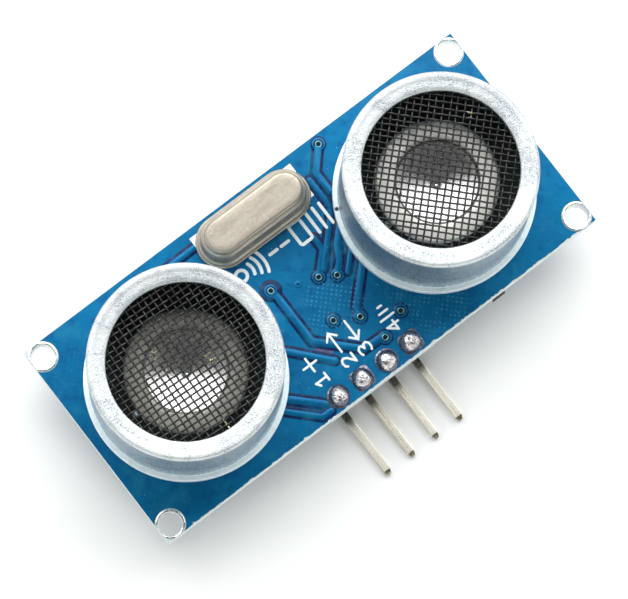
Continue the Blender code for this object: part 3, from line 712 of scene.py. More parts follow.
BACK_TRACKS = (
    (0.35, ((-9.2, -3.0), (-6.5, -3.0), (-3.5, -0.4))),
    (0.35, ((-9.2, -4.3), (-6.0, -4.3), (-2.2, -6.2))),
    (0.35, ((4.8, 2.5), (8.0, 2.5), (9.4, 3.6))),
    (0.35, ((4.8, -0.6), (8.6, -0.6), (8.6, -2.4))),
    (0.45, ((13.4, -4.4), (13.4, -6.2))),
    (0.45, ((-3.81, -8.8), (-6.5, -8.8), (-8.2, -7.6))),
    (0.45, ((3.81, -8.8), (7.6, -8.8), (7.6, -6.9))),
    (0.35, ((-8.6, 4.0), (-8.6, 1.8), (-4.0, 1.8))),
    (0.35, ((-2.8, 7.4), (-5.6, 7.4))),
    (0.35, ((2.0, 7.4), (4.8, 7.4))),
)

# White print, all of it generic: a sound-wave sign, pin numbers and pin signs
PRINT_HEIGHT = 0.048
SIGN_STROKE = 0.30             # width of the strokes of the sound-wave sign
PIN_STROKE = 0.22              # and of those beside the pins
BACK_STROKE = 0.15
CRYSTAL_PRINT = ((-5.67, 5.96), (4.93, 9.33))    # opposite corners of the patch under the crystal
SIGN_Y = 4.18
SOURCE_X = -4.1
DIGIT_Y = -7.3                 # left of the numbers, which are read with the pins to the right
DIGIT_X = {"1": -3.55, "2": -0.75, "3": 0.98, "4": 4.05}
DIGITS = {                     # strokes in a cell 0.7 wide and 1.1 high
    "1": (((0.10, 0.85), (0.40, 1.1)), ((0.40, 1.1), (0.40, 0.0)), ((0.10, 0.0), (0.70, 0.0))),
    "2": (((0.02, 0.88), (0.14, 1.05), (0.40, 1.1), (0.62, 1.0), (0.68, 0.78), (0.56, 0.52),
           (0.0, 0.0)), ((0.0, 0.0), (0.7, 0.0))),
    "3": (((0.02, 1.0), (0.22, 1.1), (0.50, 1.08), (0.66, 0.90), (0.62, 0.70), (0.36, 0.58)),
          ((0.36, 0.58), (0.66, 0.46), (0.70, 0.22), (0.52, 0.03), (0.22, 0.0), (0.0, 0.12))),
    "4": (((0.52, 0.0), (0.52, 1.1)), ((0.52, 1.1), (0.0, 0.36)), ((0.0, 0.36), (0.76, 0.36))),
}


def land_loop(x, y, grow, edge_gap=0.05):
    """A land's outline, cut straight just inside the board's two near edges."""
    reach_x = BOARD_LENGTH / 2 - edge_gap - abs(x)
    reach_y = BOARD_WIDTH / 2 - edge_gap - abs(y)
    points = []
    for way_x, way_y in circle(1.0, LAND_STEPS):
        out_x = max(math.copysign(way_x, way_x * x), 0.001)
        out_y = max(math.copysign(way_y, way_y * y), 0.001)
        radius = min(LAND_RADIUS + grow, reach_x / out_x, reach_y / out_y)
        points.append((x + way_x * radius, y + way_y * radius))
    return points


def through_holes(via_radius):
    """Every drilled hole apart from the four corner ones."""
    loops = [circle(via_radius, 14, x, y) for x, y in VIAS]
    loops += [circle(0.51, 20, *node_middle(f"pin_joint_{n}")[:2]) for n in (1, 2, 3, 4)]
    loops += [circle(0.5, 20, *node_middle(f"{side}_lead_{end}")[:2])
              for side in SIDES for end in ("a", "b")]
    loops += [circle(0.35, 16, *node_middle(f"crystal_lead_{n}")[:2]) for n in (1, 2)]
    return loops


MASK_CHIPS = 190               # points along the chipped edge


def mask_outline():
    """The mask's edge. At the transmitter's end it stops at the lands and leaves the tips bare.

    Along the header's side the board was snapped from its panel, which chipped the mask back.
    """
    half_x = BOARD_LENGTH / 2
    half_y = BOARD_WIDTH / 2
    bare = LAND_RADIUS + 0.07
    meets_end = math.degrees(math.acos((half_x - HOLE_X) / bare))
    meets_side = math.degrees(math.acos((half_y - HOLE_Y) / bare))
    upper = arc(-HOLE_X, HOLE_Y, bare, 90 - meets_side, -180 + meets_end, 26)
    lower = arc(-HOLE_X, -HOLE_Y, bare, 180 - meets_end, -90 + meets_side, 26)
    dice = random.Random("mask edge")
    reach = HOLE_X - LAND_RADIUS - 0.15
    chipped = [(x + dice.uniform(-0.06, 0.06), -half_y + min(0.05 + abs(dice.gauss(0, 0.06)), 0.2))
               for x in np.linspace(-reach, reach, MASK_CHIPS).tolist()]
    return [(half_x, -half_y), (half_x, half_y)] + upper + lower + chipped


def build_board(finishes):
    copper, bare, stripped, edge, tin, rim, bore, ink = finishes
    corners = [(x, y) for x in (-HOLE_X, HOLE_X) for y in (-HOLE_Y, HOLE_Y)]
    outline = rectangle(BOARD_LENGTH, BOARD_WIDTH)
    barrel = HOLE_RADIUS + 0.04

    drilled = [circle(barrel, LAND_STEPS, x, y) for x, y in corners] + through_holes(VIA_HOLE + 0.03)
    core = Shape().add(plate([outline] + drilled, BACK + MASK, -MASK))
    piece("board_laminate", core, [edge], ["circuit_board"])

    for name, low, high in (("front", -MASK, 0.0), ("back", BACK, BACK + MASK)):
        right = [land_loop(x, y, 0.05, 0.02) for x, y in corners if x > 0]
        sheet = Shape().add(plate([mask_outline()] + right + through_holes(VIA_HOLE + 0.02), low, high))
        piece(f"board_mask_{name}", sheet, [copper], ["circuit_board"])

    tracks = Shape()
    route_tracks(tracks, FRONT_TRACKS, 0.0, 1)
    for patch in BARE_PATCHES:
        tracks.add(plate([patch], 0.001, 0.004), 2)
    piece("board_tracks_front", tracks, [copper, bare, stripped], ["circuit_board"])
    tracks = Shape()
    route_tracks(tracks, BACK_TRACKS, BACK, -1)
    piece("board_tracks_back", tracks, [copper, bare], ["circuit_board"])

    lands = Shape()
    for x, y in corners:
        lands.add(land(x, y))
    piece("board_lands", lands, [tin], ["circuit_board"])
    build_vias(copper, bare, rim, bore)
    build_print(ink)


def route_tracks(shape, tracks, face, out):
    """Raised tracks, each in the dark strip where the copper beside it is etched away."""
    for layer, (width, path) in enumerate(tracks):
        strip = (face + out * 0.002, face + out * (0.006 + TRACK_STEP * layer))
        shape.add(ribbon(path, width + 2 * TRACK_GAP, *strip, slope=0.03, rounded=True), 1)
    for layer, (width, path) in enumerate(tracks):
        crown = (face + out * 0.002, face + out * (TRACK_HEIGHT + TRACK_STEP * layer))
        shape.add(ribbon(path, width, *crown, slope=0.05, rounded=True), 0)


def land(x, y):
    """A plated ring on both faces, joined by the lining of its hole."""
    def ring(grow, height):
        return at_height(land_loop(x, y, grow), height)

    def bore(grow, height):
        return at_height(circle(HOLE_RADIUS + grow, LAND_STEPS, x, y), height)

    top = LAND_HEIGHT
    low = BACK - LAND_HEIGHT
    rings = [ring(0, -0.02), ring(0, top - 0.02), ring(-0.03, top), bore(0.06, top),
             bore(0.02, top - 0.02), bore(0, top - 0.06), bore(0, low + 0.06), bore(0.02, low + 0.02),
             bore(0.06, low), ring(-0.03, low), ring(0, low + 0.02), ring(0, BACK + 0.02),
             bore(0.04, BACK + 0.02), bore(0.04, -0.02)]
    return skin(rings, loop=True)


def build_vias(copper, bare, rim, bore):
    """Plated rings in gaps in the copper, with a plug through each painted near-black as shade in the
    hole, and tented domes.
    """
    shape = Shape()

    def ring(profile, steps, x, y, face, out, paint):
        shape.add(lathe([(r, out * h) for r, h in profile], steps, x, y, face, loop=True), paint)

    for number, (x, y) in enumerate(VIAS):
        clear = VIA_GAP if number else WIDE_VIA_GAP
        for face, out in ((0.0, 1), (BACK, -1)):
            if number or out > 0:
                ring([(VIA_RING, 0.0), (VIA_RING, 0.014), (clear - 0.03, 0.014), (clear, 0.0)], 36,
                     x, y, face, out, 1)
            ring([(0.40, 0.0), (0.42, 0.026), (0.53, 0.026), (0.57, 0.0)], 36, x, y, face, out, 0)
            ring([(VIA_HOLE, 0.0), (VIA_HOLE, 0.03), (VIA_HOLE + 0.02, 0.045), (VIA_RING - 0.03, 0.045),
                  (VIA_RING, 0.03), (VIA_RING, 0.0)], 32, x, y, face, out, 2)
        # Plug filling the hole, in finish bore (paint 3): painted shade for the inside of the hole
        plug = [(0.0, 0.033), (VIA_HOLE * 0.6, 0.034), (VIA_HOLE - 0.01, 0.040), (VIA_HOLE + 0.01, 0.0),
                (VIA_HOLE + 0.01, BACK), (VIA_HOLE - 0.01, BACK - 0.040), (VIA_HOLE * 0.6, BACK - 0.034),
                (0.0, BACK - 0.033)]
        shape.add(lathe(plug, 20, x, y), 3)
    for x, y in TENTED_VIAS:
        dome = [(0.33, 0.001), (0.29, 0.016), (0.17, 0.020), (0.10, 0.010)]
        shape.add(lathe(dome, 30, x, y), 0)
    for x, y in TENTED_VIAS[:2]:
        shape.add(lathe([(0.13, 0.008), (0.10, 0.012), (0.0, 0.011)], 20, x, y), 1)
    piece("board_vias", shape, [copper, bare, rim, bore], ["circuit_board"])


def build_print(ink):
    """White ink; each stroke is a hair thicker than the last, so that no two faces coincide."""
    shape = Shape()
    layers = itertools.count(1)

    def stroke(path, width=PIN_STROKE, closed=False):
        step = 0.0004 * next(layers)
        shape.add(ribbon(path, width, -0.002 - step, PRINT_HEIGHT + step, slope=0.03, closed=closed,
                         rounded=not closed))

    (left, near), (right, far) = CRYSTAL_PRINT
    shape.add(plate([rectangle(right - left, far - near, (left + right) / 2, (near + far) / 2)],
                    0.003, PRINT_HEIGHT))

    # A sounding source, its waves, and the plate that they come back from
    stroke(circle(0.50, 24, SOURCE_X, SIGN_Y), SIGN_STROKE, closed=True)
    for radius in (1.15, 1.75, 2.35):
        stroke(arc(SOURCE_X, SIGN_Y, radius, -27, 27, 10), SIGN_STROKE)
    for start in (-1.1, 0.1):
        stroke(((start, SIGN_Y), (start + 0.75, SIGN_Y)), SIGN_STROKE)
    stroke(rounded_rectangle(1.15, 2.0, 0.2, 2.1, SIGN_Y), SIGN_STROKE, closed=True)
    for x in (3.4, 4.1, 4.8):
        stroke(((x, SIGN_Y - 1.0), (x, SIGN_Y + 1.0)), SIGN_STROKE)

    # Pin numbers, and beyond them a plus, an arrow in, an arrow out and three shrinking bars
    for number, x in DIGIT_X.items():
        for path in DIGITS[number]:
            stroke([(x - v, DIGIT_Y + u * 1.15) for u, v in path])
    stroke(((-4.75, -5.25), (-3.45, -5.25)))
    stroke(((-4.1, -5.9), (-4.1, -4.6)))
    for x, tip, tail in ((-1.3, -4.05, -5.95), (0.45, -5.95, -4.05)):
        barb = math.copysign(0.55, tail - tip)
        stroke(((x, tail), (x, tip)))
        stroke(((x - 0.5, tip + barb), (x, tip), (x + 0.5, tip + barb)))
    for y, half in ((-5.95, 0.65), (-5.4, 0.42), (-4.85, 0.18)):
        stroke(((3.5 - half, y), (3.5 + half, y)))
    piece("board_print_front", shape, [ink], ["circuit_board"])

    shape = Shape()

    def outline(loop, lift=0.0):
        shape.add(ribbon(loop, BACK_STROKE, BACK - 0.003, BACK - PRINT_HEIGHT - lift, slope=0.02,
                         closed=True))

    for node, margin, dot in (("driver_chip", 1.0, True), ("controller_chip", 1.0, True),
                              ("amplifier_chip", 1.0, True), ("transistor", 0.5, True),
                              ("header_body", 0.5, False)):
        low, high = node_box(node)
        length, width, _ = high - low
        outline(rectangle(length + margin, width + margin * 0.6, *((low + high) / 2)[:2]))
        if dot:
            shape.add(lathe([(0.28, -0.003), (0.26, -PRINT_HEIGHT)], 18, low[0] - margin * 0.9,
                            low[1] + 0.6, BACK))
    for side in SIDES:
        x, y, _ = node_middle(f"{side}_case")
        outline(circle(CASE_BORE, 72, x, y), lift=0.002)
    piece("board_print_back", shape, [ink], ["circuit_board"])


# ---------------------------------------------------------------- transducers

CASE_HEIGHT = 12.0
CASE_RADIUS = 8.1
CASE_BORE = 7.6
CASE_OPENING = 6.5
FLANGE_RADIUS = 8.58
CASE_STEPS = 300
CONE_STEPS = 120
DIMPLE_BEARING = 153.3         # the small pit in the receiver's flange, about the can's axis
DIMPLE_DISTANCE = 8.36
DIMPLE_RADIUS = 0.16
DIMPLE_DEPTH = 0.3
DIMPLE_HEIGHT = 1.05

# Painted glints, where brassy highlights are painted on a screen's wire: x, y, radius
GLINTS = {"transmitter": ((-14.7, 1.9, 0.55), (-11.3, -1.0, 0.65), (-13.5, -6.0, 0.55)),
          "receiver": ((17.8, 2.25, 0.4),)}

WIRE_RADIUS = 0.078
WIRE_STRAY = 0.018             # how far a wire strays from its place, and how far it snakes
WIRE_DRIFT = 0.03
SCREEN_RADIUS = 7.05
SCREEN_TOP = 11.31
# Bearing of the first family's normal, and the pitch of both families
SCREENS = {"transmitter": (86.4, 0.507, 0.597), "receiver": (44.0, 0.511, 0.588)}


def case_profile():
    """(radius, height, paint) from under the lip, over the front ring, down the side and back.

    The ring falls slightly towards the opening from a small step that runs round it.
    """
    shoulder = [(r, z, 0) for r, z in arc(7.83, CASE_HEIGHT - 0.26, 0.26, 86, 0, 8)]
    ring = [(CASE_OPENING, 11.5, 0), (CASE_OPENING, 11.78, 0), (6.53, 11.86, 0), (6.62, 11.90, 0),
            (6.95, 11.930, 0), (7.30, 11.950, 0), (7.40, 11.958, 0), (7.50, 11.978, 0), (7.64, 11.994, 0)]
    side = [(CASE_RADIUS, 11.5, 1), (CASE_RADIUS, 9.0, 1), (CASE_RADIUS + 0.01, 6.0, 1),
            (CASE_RADIUS, 3.0, 1), (CASE_RADIUS, 1.30, 1), (8.12, 1.17, 1), (8.15, 1.12, 2)]
    flange = [(8.21, 1.10, 2), (8.52, 1.10, 2), (8.56, 1.08, 2), (FLANGE_RADIUS, 1.04, 2),
              (FLANGE_RADIUS, 0.12, 2), (8.55, 0.05, 2), (8.48, 0.02, 2), (CASE_BORE, 0.02, 1),
              (CASE_BORE, 11.5, 0)]
    return ring + shoulder + side + flange


def dimple_middle():
    x, y, _ = node_middle("receiver_case")
    bearing = math.radians(DIMPLE_BEARING)
    return x + DIMPLE_DISTANCE * math.cos(bearing), y + DIMPLE_DISTANCE * math.sin(bearing)


def build_case(side, metals):
    x, y, _ = node_middle(f"{side}_case")
    pit = dimple_middle()

    def wobble(ring):
        """Slight out-of-round, and on the receiver the small dimple in its flange."""
        made = []
        for px, py, pz in ring:
            turn = math.atan2(py - y, px - x)
            grow = 1 + 0.0012 * math.sin(2 * turn + 0.7) + 0.0006 * math.sin(5 * turn + pz)
            px = x + (px - x) * grow
            py = y + (py - y) * grow
            if side == "receiver" and 1.0 < pz < 1.5:
                gap = math.hypot(px - pit[0], py - pit[1])
                pz -= DIMPLE_DEPTH * max(0.0, 1 - (gap / DIMPLE_RADIUS) ** 2)
            made.append((px, py, pz))
        return made
    profile = case_profile()
    paints = [paint for _, _, paint in profile for _ in range(CASE_STEPS)]
    turned = lathe([(r, z) for r, z, _ in profile], CASE_STEPS, x, y, loop=True, wobble=wobble)
    piece(f"{side}_can", Shape().add(turned, paints), metals,
          [f"{side}_case"], sharp=50)


def woven_wires(side):
    """A plain weave: every wire goes over one crossing wire and under the next."""
    x, y, z = node_middle(f"{side}_screen")
    bearing, pitch_a, pitch_b = SCREENS[side]
    dice = random.Random(f"{side} screen")
    across_a = np.array((math.cos(math.radians(bearing)), math.sin(math.radians(bearing))))
    across_b = np.array((across_a[1], -across_a[0]))
    section = [(WIRE_RADIUS * c, WIRE_RADIUS * s) for c, s in circle(1.0, 6)]
    shape = Shape()
    for across, pitch, along, gap, sign in ((across_a, pitch_a, across_b, pitch_b, 1),
                                            (across_b, pitch_b, across_a, pitch_a, -1)):
        last = int(SCREEN_RADIUS / pitch)
        for k in range(-last, last + 1):
            offset = pitch * k + dice.gauss(0, WIRE_STRAY)
            reach = math.sqrt(max(SCREEN_RADIUS ** 2 - offset ** 2, 0.0))
            if reach < gap:
                continue
            steps = int(2 * reach / gap * 6)
            s = np.linspace(-reach, reach, steps)
            drift = WIRE_DRIFT * np.sin(s * dice.uniform(0.3, 0.8) + dice.uniform(0, 6))
            lift = sign * (-1) ** k * WIRE_RADIUS * 1.05 * np.cos(math.pi * s / gap)
            spots = np.outer(offset + drift, across) + np.outer(s, along)
            path = np.column_stack((spots[:, 0] + x, spots[:, 1] + y, lift + z))
            shape.add(sweep(path, section))
    return shape


def cone_profile(low, high):
    """(radius, height, paint) of a polished dish with a dull flat brim, on a short foot.

    A narrow fold in the sheet parts the dish from the step up to its brim; on the receiver it is painted
    dark as shade in the fold.
    """
    sheet = 0.2
    floor = high - 1.22
    dish = [(0.0, floor - 0.16), (0.16, floor - 0.15), (0.28, floor - 0.06), (0.40, floor + 0.01)]
    dish += [(r, floor + 0.85 * (r / 3.38) ** 1.5)
             for r in (0.6, 1.0, 1.4, 1.8, 2.2, 2.6, 3.0, 3.25, 3.38)]
    fold = [(3.42, high - 0.44), (3.48, high - 0.44), (3.52, high - 0.30)]
    step = [(3.53, high - 0.34), (3.55, high - 0.12), (3.59, high - 0.03), (3.68, high)]
    brim = [(4.0, high), (4.95, high), (5.14, high - 0.02), (5.2, high - 0.08), (5.18, high - 0.17),
            (5.1, high - sheet), (3.8, high - sheet), (3.68, high - sheet - 0.04)]
    # The underside follows the step and the outer dish inwards, as far as the foot
    under = [(r + 0.12, z - sheet) for r, z in step[1::-1] + dish[:7:-1]]
    foot = [(0.95, floor - 0.1), (0.9, floor - 0.3), (0.9, low + 0.03), (0.86, low), (0.0, low)]
    painted = ((dish, 0), (fold, 2), (step[1:] + brim + under + foot, 1))
    return [(r, z, paint) for points, paint in painted for r, z in points]


def build_transducer(side, metals, wire, sheets, inner, lead):
    """inner gives the finish of each part inside whose CAD shape is kept."""
    build_case(side, metals)
    piece(f"{side}_mesh", woven_wires(side), [wire], [f"{side}_screen"], sharp=80)
    x, y, _ = node_middle(f"{side}_cone")
    low, high = node_box(f"{side}_cone")
    profile = cone_profile(low[2], high[2])
    turned = lathe([(r, z) for r, z, _ in profile], CONE_STEPS, x, y)
    paints = [paint for _, _, paint in profile[1:] for _ in range(CONE_STEPS)] + [0, 1]
    piece(f"{side}_horn", Shape().add(turned, paints), sheets, [f"{side}_cone"], sharp=45)
    for part, finish in inner.items():
        dress(f"{side}_{part}", finish)
    for end in ("a", "b"):
        build_lead(f"{side}_lead_{end}", lead)
        dress(f"{side}_tail_wire_{end}", lead)


def dress(node, finish):
    """Gives a CAD node that keeps its own shape a finished material."""
    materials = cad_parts[node].data.materials
    materials.clear()
    materials.append(finish.material)


def build_lead(node, finish):
    """A round lead with a domed top and a snipped, slightly ragged lower end."""
    low, high = node_box(node)
    x, y, _ = (low + high) / 2
    radius = (high[0] - low[0]) / 2
    dome = ((0.0, 0.0), (0.6, 0.08), (0.92, 0.3), (1.0, 0.7))
    cut = ((1.0, 0.5), (0.9, 0.22), (0.55, 0.05), (0.0, 0.0))
    profile = [(radius * out, high[2] - radius * down) for out, down in dome]
    profile += [(radius * out, low[2] + radius * up) for out, up in cut]
    piece(f"{node}_wire", Shape().add(lathe(profile, 28, x, y)), [finish], [node])


# ---------------------------------------------------------------- crystal

CRYSTAL_STRAIGHT = 6.4         # length of the can's straight sides
# Radius of the rounded end and height, from the board up
CRYSTAL_FLANGE = ((2.18, 0.03), (2.27, 0.07), (2.30, 0.16), (2.30, 0.34), (2.27, 0.42), (2.18, 0.46),
                  (2.00, 0.47))
CRYSTAL_TOP = 3.602
CRYSTAL_LID = ((1.95, 0.49), (2.08, 0.50), (2.13, 0.57), (2.13, 0.66), (2.08, 0.75), (1.98, 0.80),
               (1.90, 0.86), (1.87, 0.98), (1.86, 1.6), (1.86, 2.4), (1.86, 2.86), (1.84, 3.02),
               (1.77, 3.15), (1.67, 3.21), (1.59, 3.23), (1.56, 3.27), (1.55, 3.36), (1.52, 3.46),
               (1.45, 3.54), (1.36, 3.585), (1.25, 3.60))


def stadium_at(radius, height, x, y, steps=22):
    """A long loop with round ends; eight points on each straight side."""
    reach = CRYSTAL_STRAIGHT / 2
    right = arc(x + reach, y, radius, -90, 90, steps)
    left = arc(x - reach, y, radius, 90, 270, steps)
    middle = [(x + reach - CRYSTAL_STRAIGHT * i / 9, y + radius) for i in range(1, 9)]
    other = [(x - reach + CRYSTAL_STRAIGHT * i / 9, y - radius) for i in range(1, 9)]
    return at_height(right + middle + left + other, height)


def build_crystal(metal, wire, glass):
    x, y, _ = node_middle("crystal_can")
    flange = Shape().add(skin([stadium_at(r, h, x, y) for r, h in CRYSTAL_FLANGE], capped=True))
    piece("crystal_flange", flange, [metal], ["crystal_base"], sharp=60)
    rings = [stadium_at(r, h, x, y) for r, h in CRYSTAL_LID]
    for inset in (0.4, 0.8, 1.2):
        rings.append(stadium_at(CRYSTAL_LID[-1][0] - inset, CRYSTAL_TOP - 0.004 * inset, x, y))
    lid = Shape().add(skin(rings, capped=True))
    piece("crystal_lid", lid, [metal], ["crystal_can"], sharp=60)
    for number in (1, 2):
        build_lead(f"crystal_lead_{number}", wire)
    dress("quartz_blank", glass)


# ---------------------------------------------------------------- header

PIN_WIDTH = 0.64
PITCH = 2.54


def header_loop(inset):
    """Four cells in a row with their corners cut off."""
    low, high = node_box("header_body")
    x, y, _ = (low + high) / 2
    half = (high[1] - low[1]) / 2 - inset
    cut = 0.4
    firsts = [x + PITCH * (i - 1.5) - PITCH / 2 for i in range(4)]
    near = []
    for left in firsts:
        near += [(left + (inset if left == firsts[0] else 0), y - half + cut), (left + cut, y - half),
                 (left + PITCH - cut, y - half)]
    far = [(2 * x - px, 2 * y - py) for px, py in near]
    return near + far


def build_header(plastic, platings, metal, stain):
    low, high = node_box("header_body")
    body = Shape().add(pillow(header_loop, [(0.07, low[2]), (0.0, low[2] + 0.07), (0.0, high[2] - 0.07),
                                            (0.07, high[2])]))
    piece("header_strip", body, [plastic], ["header_body"], sharp=30)
    for number in (1, 2, 3, 4):
        build_pin(number, platings)
        build_pin_joint(number, metal, stain)


def build_pin(number, finishes):
    """A square pin with slightly rounded edges and a four-sided tapered tip at both ends."""
    low, high = node_box(f"header_pin_{number}")
    x = (low[0] + high[0]) / 2
    half = PIN_WIDTH / 2
    upright = high[1] - half
    run = low[2] + half
    bend = 0.43
    path = [(x, upright, high[2]), (x, upright, high[2] - 0.13), (x, upright, high[2] - 0.3),
            (x, upright, -3.0), (x, upright, run + bend)]
    path += [(x, upright - bend + bend * math.cos(math.radians(a)),
              run + bend - bend * math.sin(math.radians(a))) for a in range(10, 91, 10)]
    tip = low[1]
    path += [(x, upright - 0.7, run), (x, -BOARD_WIDTH / 2 - 0.3, run), (x, -BOARD_WIDTH / 2 - 0.4, run)]
    root = len(path) - 1
    path += [(x, upright - 4.5, run), (x, tip + 0.42, run), (x, tip + 0.38, run), (x, tip, run)]
    scales = [0.55, 0.92] + [1.0] * (len(path) - 4) + [0.97, 0.42]
    section = rounded_rectangle(PIN_WIDTH, PIN_WIDTH, 0.05, steps=3)
    # Faces before root take finish 2, the painted shadow of the board
    paints = [2] * len(section) * root + [0] * len(section) * (len(path) - 2 - root)
    # The tip segment and its end cap take finish 1, painted shade on the tapered end
    paints += [1] * len(section) + [0, 1]
    shape = Shape().add(sweep(path, section, scales, up=(0.0, -1.0, 0.0)), paints)
    piece(f"header_contact_{number}", shape, finishes, [f"header_pin_{number}"], sharp=12)


def lumpy(dice, size):
    """A ring mover that makes a turned solder joint slightly uneven."""
    turns = [(n, dice.uniform(0, 6.3), dice.uniform(0.3, 1.0) * size / n) for n in (1, 2, 3, 5)]

    def move(ring):
        cx = sum(p[0] for p in ring) / len(ring)
        cy = sum(p[1] for p in ring) / len(ring)
        made = []
        for px, py, pz in ring:
            turn = math.atan2(py - cy, px - cx)
            swell = sum(a * math.sin(n * turn + phase + 2.0 * pz) for n, phase, a in turns)
            radius = math.hypot(px - cx, py - cy)
            made.append((px + (px - cx) * swell, py + (py - cy) * swell, pz + swell * radius / 4))
        return made
    return move


def build_pin_joint(number, metal, stain):
    """Pad and solder round a pin; pins 2 and 4 have square pads."""
    x, y, _ = node_middle(f"pin_joint_{number}")
    dice = random.Random(100 + number)
    shape = Shape()
    if number % 2:
        pad = [(0.0, 0.0), (0.98, 0.0), (1.0, 0.03), (0.96, 0.05), (0.0, 0.05)]
        shape.add(lathe(pad, 40, x, y), 1)
    else:
        shape.add(slab(1.86, 1.86, 0.0, 0.05, x, y, radius=0.40, edge=0.02), 1)
    blob = [(0.92, 0.03), (0.93, 0.10), (0.88, 0.22), (0.80, 0.36), (0.70, 0.50), (0.60, 0.62),
            (0.50, 0.70), (0.38, 0.76), (0.18, 0.78)]
    steps = 40
    first = dice.uniform(0, 6.3)
    stained = [4.2 + 1.3 * math.sin(2 * math.pi * i / steps + first)
               + 0.8 * math.sin(6 * math.pi * i / steps + 2 * first) for i in range(steps)]
    paints = [int(row < reach) for row in range(len(blob) - 1) for reach in stained]
    shape.add(lathe(blob, steps, x, y, wobble=lumpy(dice, 0.10)), paints + [1, 0])
    piece(f"pin_solder_{number}", shape, [metal, stain], [f"pin_joint_{number}"], sharp=60)


def build_back_joint(node, metal, tin):
    low, high = node_box(node)
    x, y, _ = (low + high) / 2
    pad = (high[0] - low[0]) / 2
    depth = high[2] - low[2]
    dice = random.Random(node)
    shape = Shape()
    shape.add(lathe([(0.0, 0.0), (pad, 0.0), (pad + 0.02, -0.03), (pad - 0.02, -0.05), (0.0, -0.05)],
                    36, x, y, BACK), 1)
    blob = [(pad * 0.94, -0.03), (pad * 0.93, -0.12), (pad * 0.80, -depth * 0.32),
            (pad * 0.62, -depth * 0.62), (pad * 0.50, -depth * 0.85), (pad * 0.42, -depth), (0.0, -depth)]
    shape.add(lathe(blob, 36, x, y, BACK, wobble=lumpy(dice, 0.09)), 0)
    piece(f"{node}_solder", shape, [metal, tin], [node], sharp=60)


# ---------------------------------------------------------------- parts on the back

CHIP_PITCH = 1.27
CHIP_BODY_WIDTH = 3.9
# Each lead of the transistor: its distance from the middle along X, and its side
TRANSISTOR_LEADS = ((-0.95, -1), (0.95, -1), (0.0, 1))


def gull_wing(x, y, side, body_half, tip, shoulder, foot, width=0.42, thick=0.2):
    """One bent lead from a chip's side down to the board; side is +1 or -1 along Y."""
    knee = body_half + 0.30
    path = [(x, y + side * (body_half - 0.2), shoulder), (x, y + side * (knee - 0.12), shoulder)]
    path += [(x, y + side * (knee - 0.12 + 0.16 * math.sin(math.radians(a))),
              shoulder + 0.16 * (1 - math.cos(math.radians(a)))) for a in (30, 60)]
    path += [(x, y + side * (knee + 0.09), shoulder + 0.20), (x, y + side * (knee + 0.16), foot - 0.22)]
    path += [(x, y + side * (knee + 0.20 + 0.14 * (1 - math.cos(math.radians(a)))),
              foot - 0.14 * (1 - math.sin(math.radians(a)))) for a in (30, 60)]
    path += [(x, y + side * (knee + 0.42), foot), (x, y + side * tip, foot)]
    section = rounded_rectangle(width, thick, 0.03, steps=2)
    return sweep(path, section)


def solder_foot(x, y, length, width, height):
    """A small fillet of solder on its pad, hanging from the back of the board."""
    levels = [(0.0, BACK), (0.01, BACK - 0.04), (0.06, BACK - height * 0.5), (0.14, BACK - height)]
    return block(length, width, min(length, width) * 0.3, levels, x, y)


def lead_rows(per_side):
    """The same for a chip with two equal rows of leads."""
    first = -CHIP_PITCH * (per_side - 1) / 2
    return [(first + CHIP_PITCH * i, side) for side in (-1, 1) for i in range(per_side)]


def build_chip(node, leads, moulding, tin, metal, body_width=CHIP_BODY_WIDTH):
    """A moulded package with a bevelled rim, a pin-one dimple and bent leads."""
    low, high = node_box(node)
    x, y, _ = (low + high) / 2
    length = high[0] - low[0]
    top = BACK - 0.17
    deep = low[2]
    middle = (top + deep) / 2
    levels = [(0.16, top), (0.10, top - 0.03), (0.0, middle + 0.06), (0.0, middle - 0.06),
              (0.12, deep + 0.05), (0.18, deep)]
    shape = Shape().add(block(length, body_width, 0.12, levels, x, y))
    mark = (low[0] + 0.9, y - body_width / 2 + 0.8)
    shape.add(lathe([(0.34, -0.002), (0.30, -0.010), (0.20, 0.006), (0.0, 0.012)], 24, *mark, deep), 0)
    tip = (high[1] - low[1]) / 2
    for offset, side in leads:
        shape.add(gull_wing(x + offset, y, side, body_width / 2, tip, middle, BACK - 0.13), 1)
        shape.add(solder_foot(x + offset, y + side * (tip - 0.2), 0.62, 0.95, 0.16), 2)
    piece(f"{node}_package", shape, [moulding, tin, metal], [node], sharp=32)


def build_small_part(node, body, tin, metal, feet=(-1, 1)):
    """A chip resistor or capacitor: ceramic body, wrapped metal ends, and solder at its feet."""
    low, high = node_box(node)
    x, y, _ = (low + high) / 2
    size = high - low
    along = 0 if size[0] > size[1] else 1
    spread = np.array((1.0, 0.0)) if along == 0 else np.array((0.0, 1.0))
    long, wide = size[along], size[1 - along]
    end = long * 0.2
    shape = Shape()

    def brick(centre, length, grow, low_z, high_z, paint):
        dims = (length, wide + grow) if along == 0 else (wide + grow, length)
        shape.add(slab(*dims, low_z, high_z, *centre, radius=0.06, edge=0.04), paint)

    centre = np.array((x, y))
    brick(centre, long - end, -0.04, low[2] + 0.02, high[2] - 0.02, 0)
    for side in (-1, 1):
        spot = centre + spread * side * (long / 2 - end / 2)
        brick(spot, end, 0.0, low[2], high[2], 1)
        if side not in feet:
            continue
        foot = centre + spread * side * (long / 2 + 0.02)
        dims = (0.46, wide + 0.25) if along == 0 else (wide + 0.25, 0.46)
        shape.add(solder_foot(*foot, *dims, size[2] * 0.55), 2)
    piece(f"{node}_part", shape, [body, tin, metal], [node], sharp=32)


# ---------------------------------------------------------------- studio

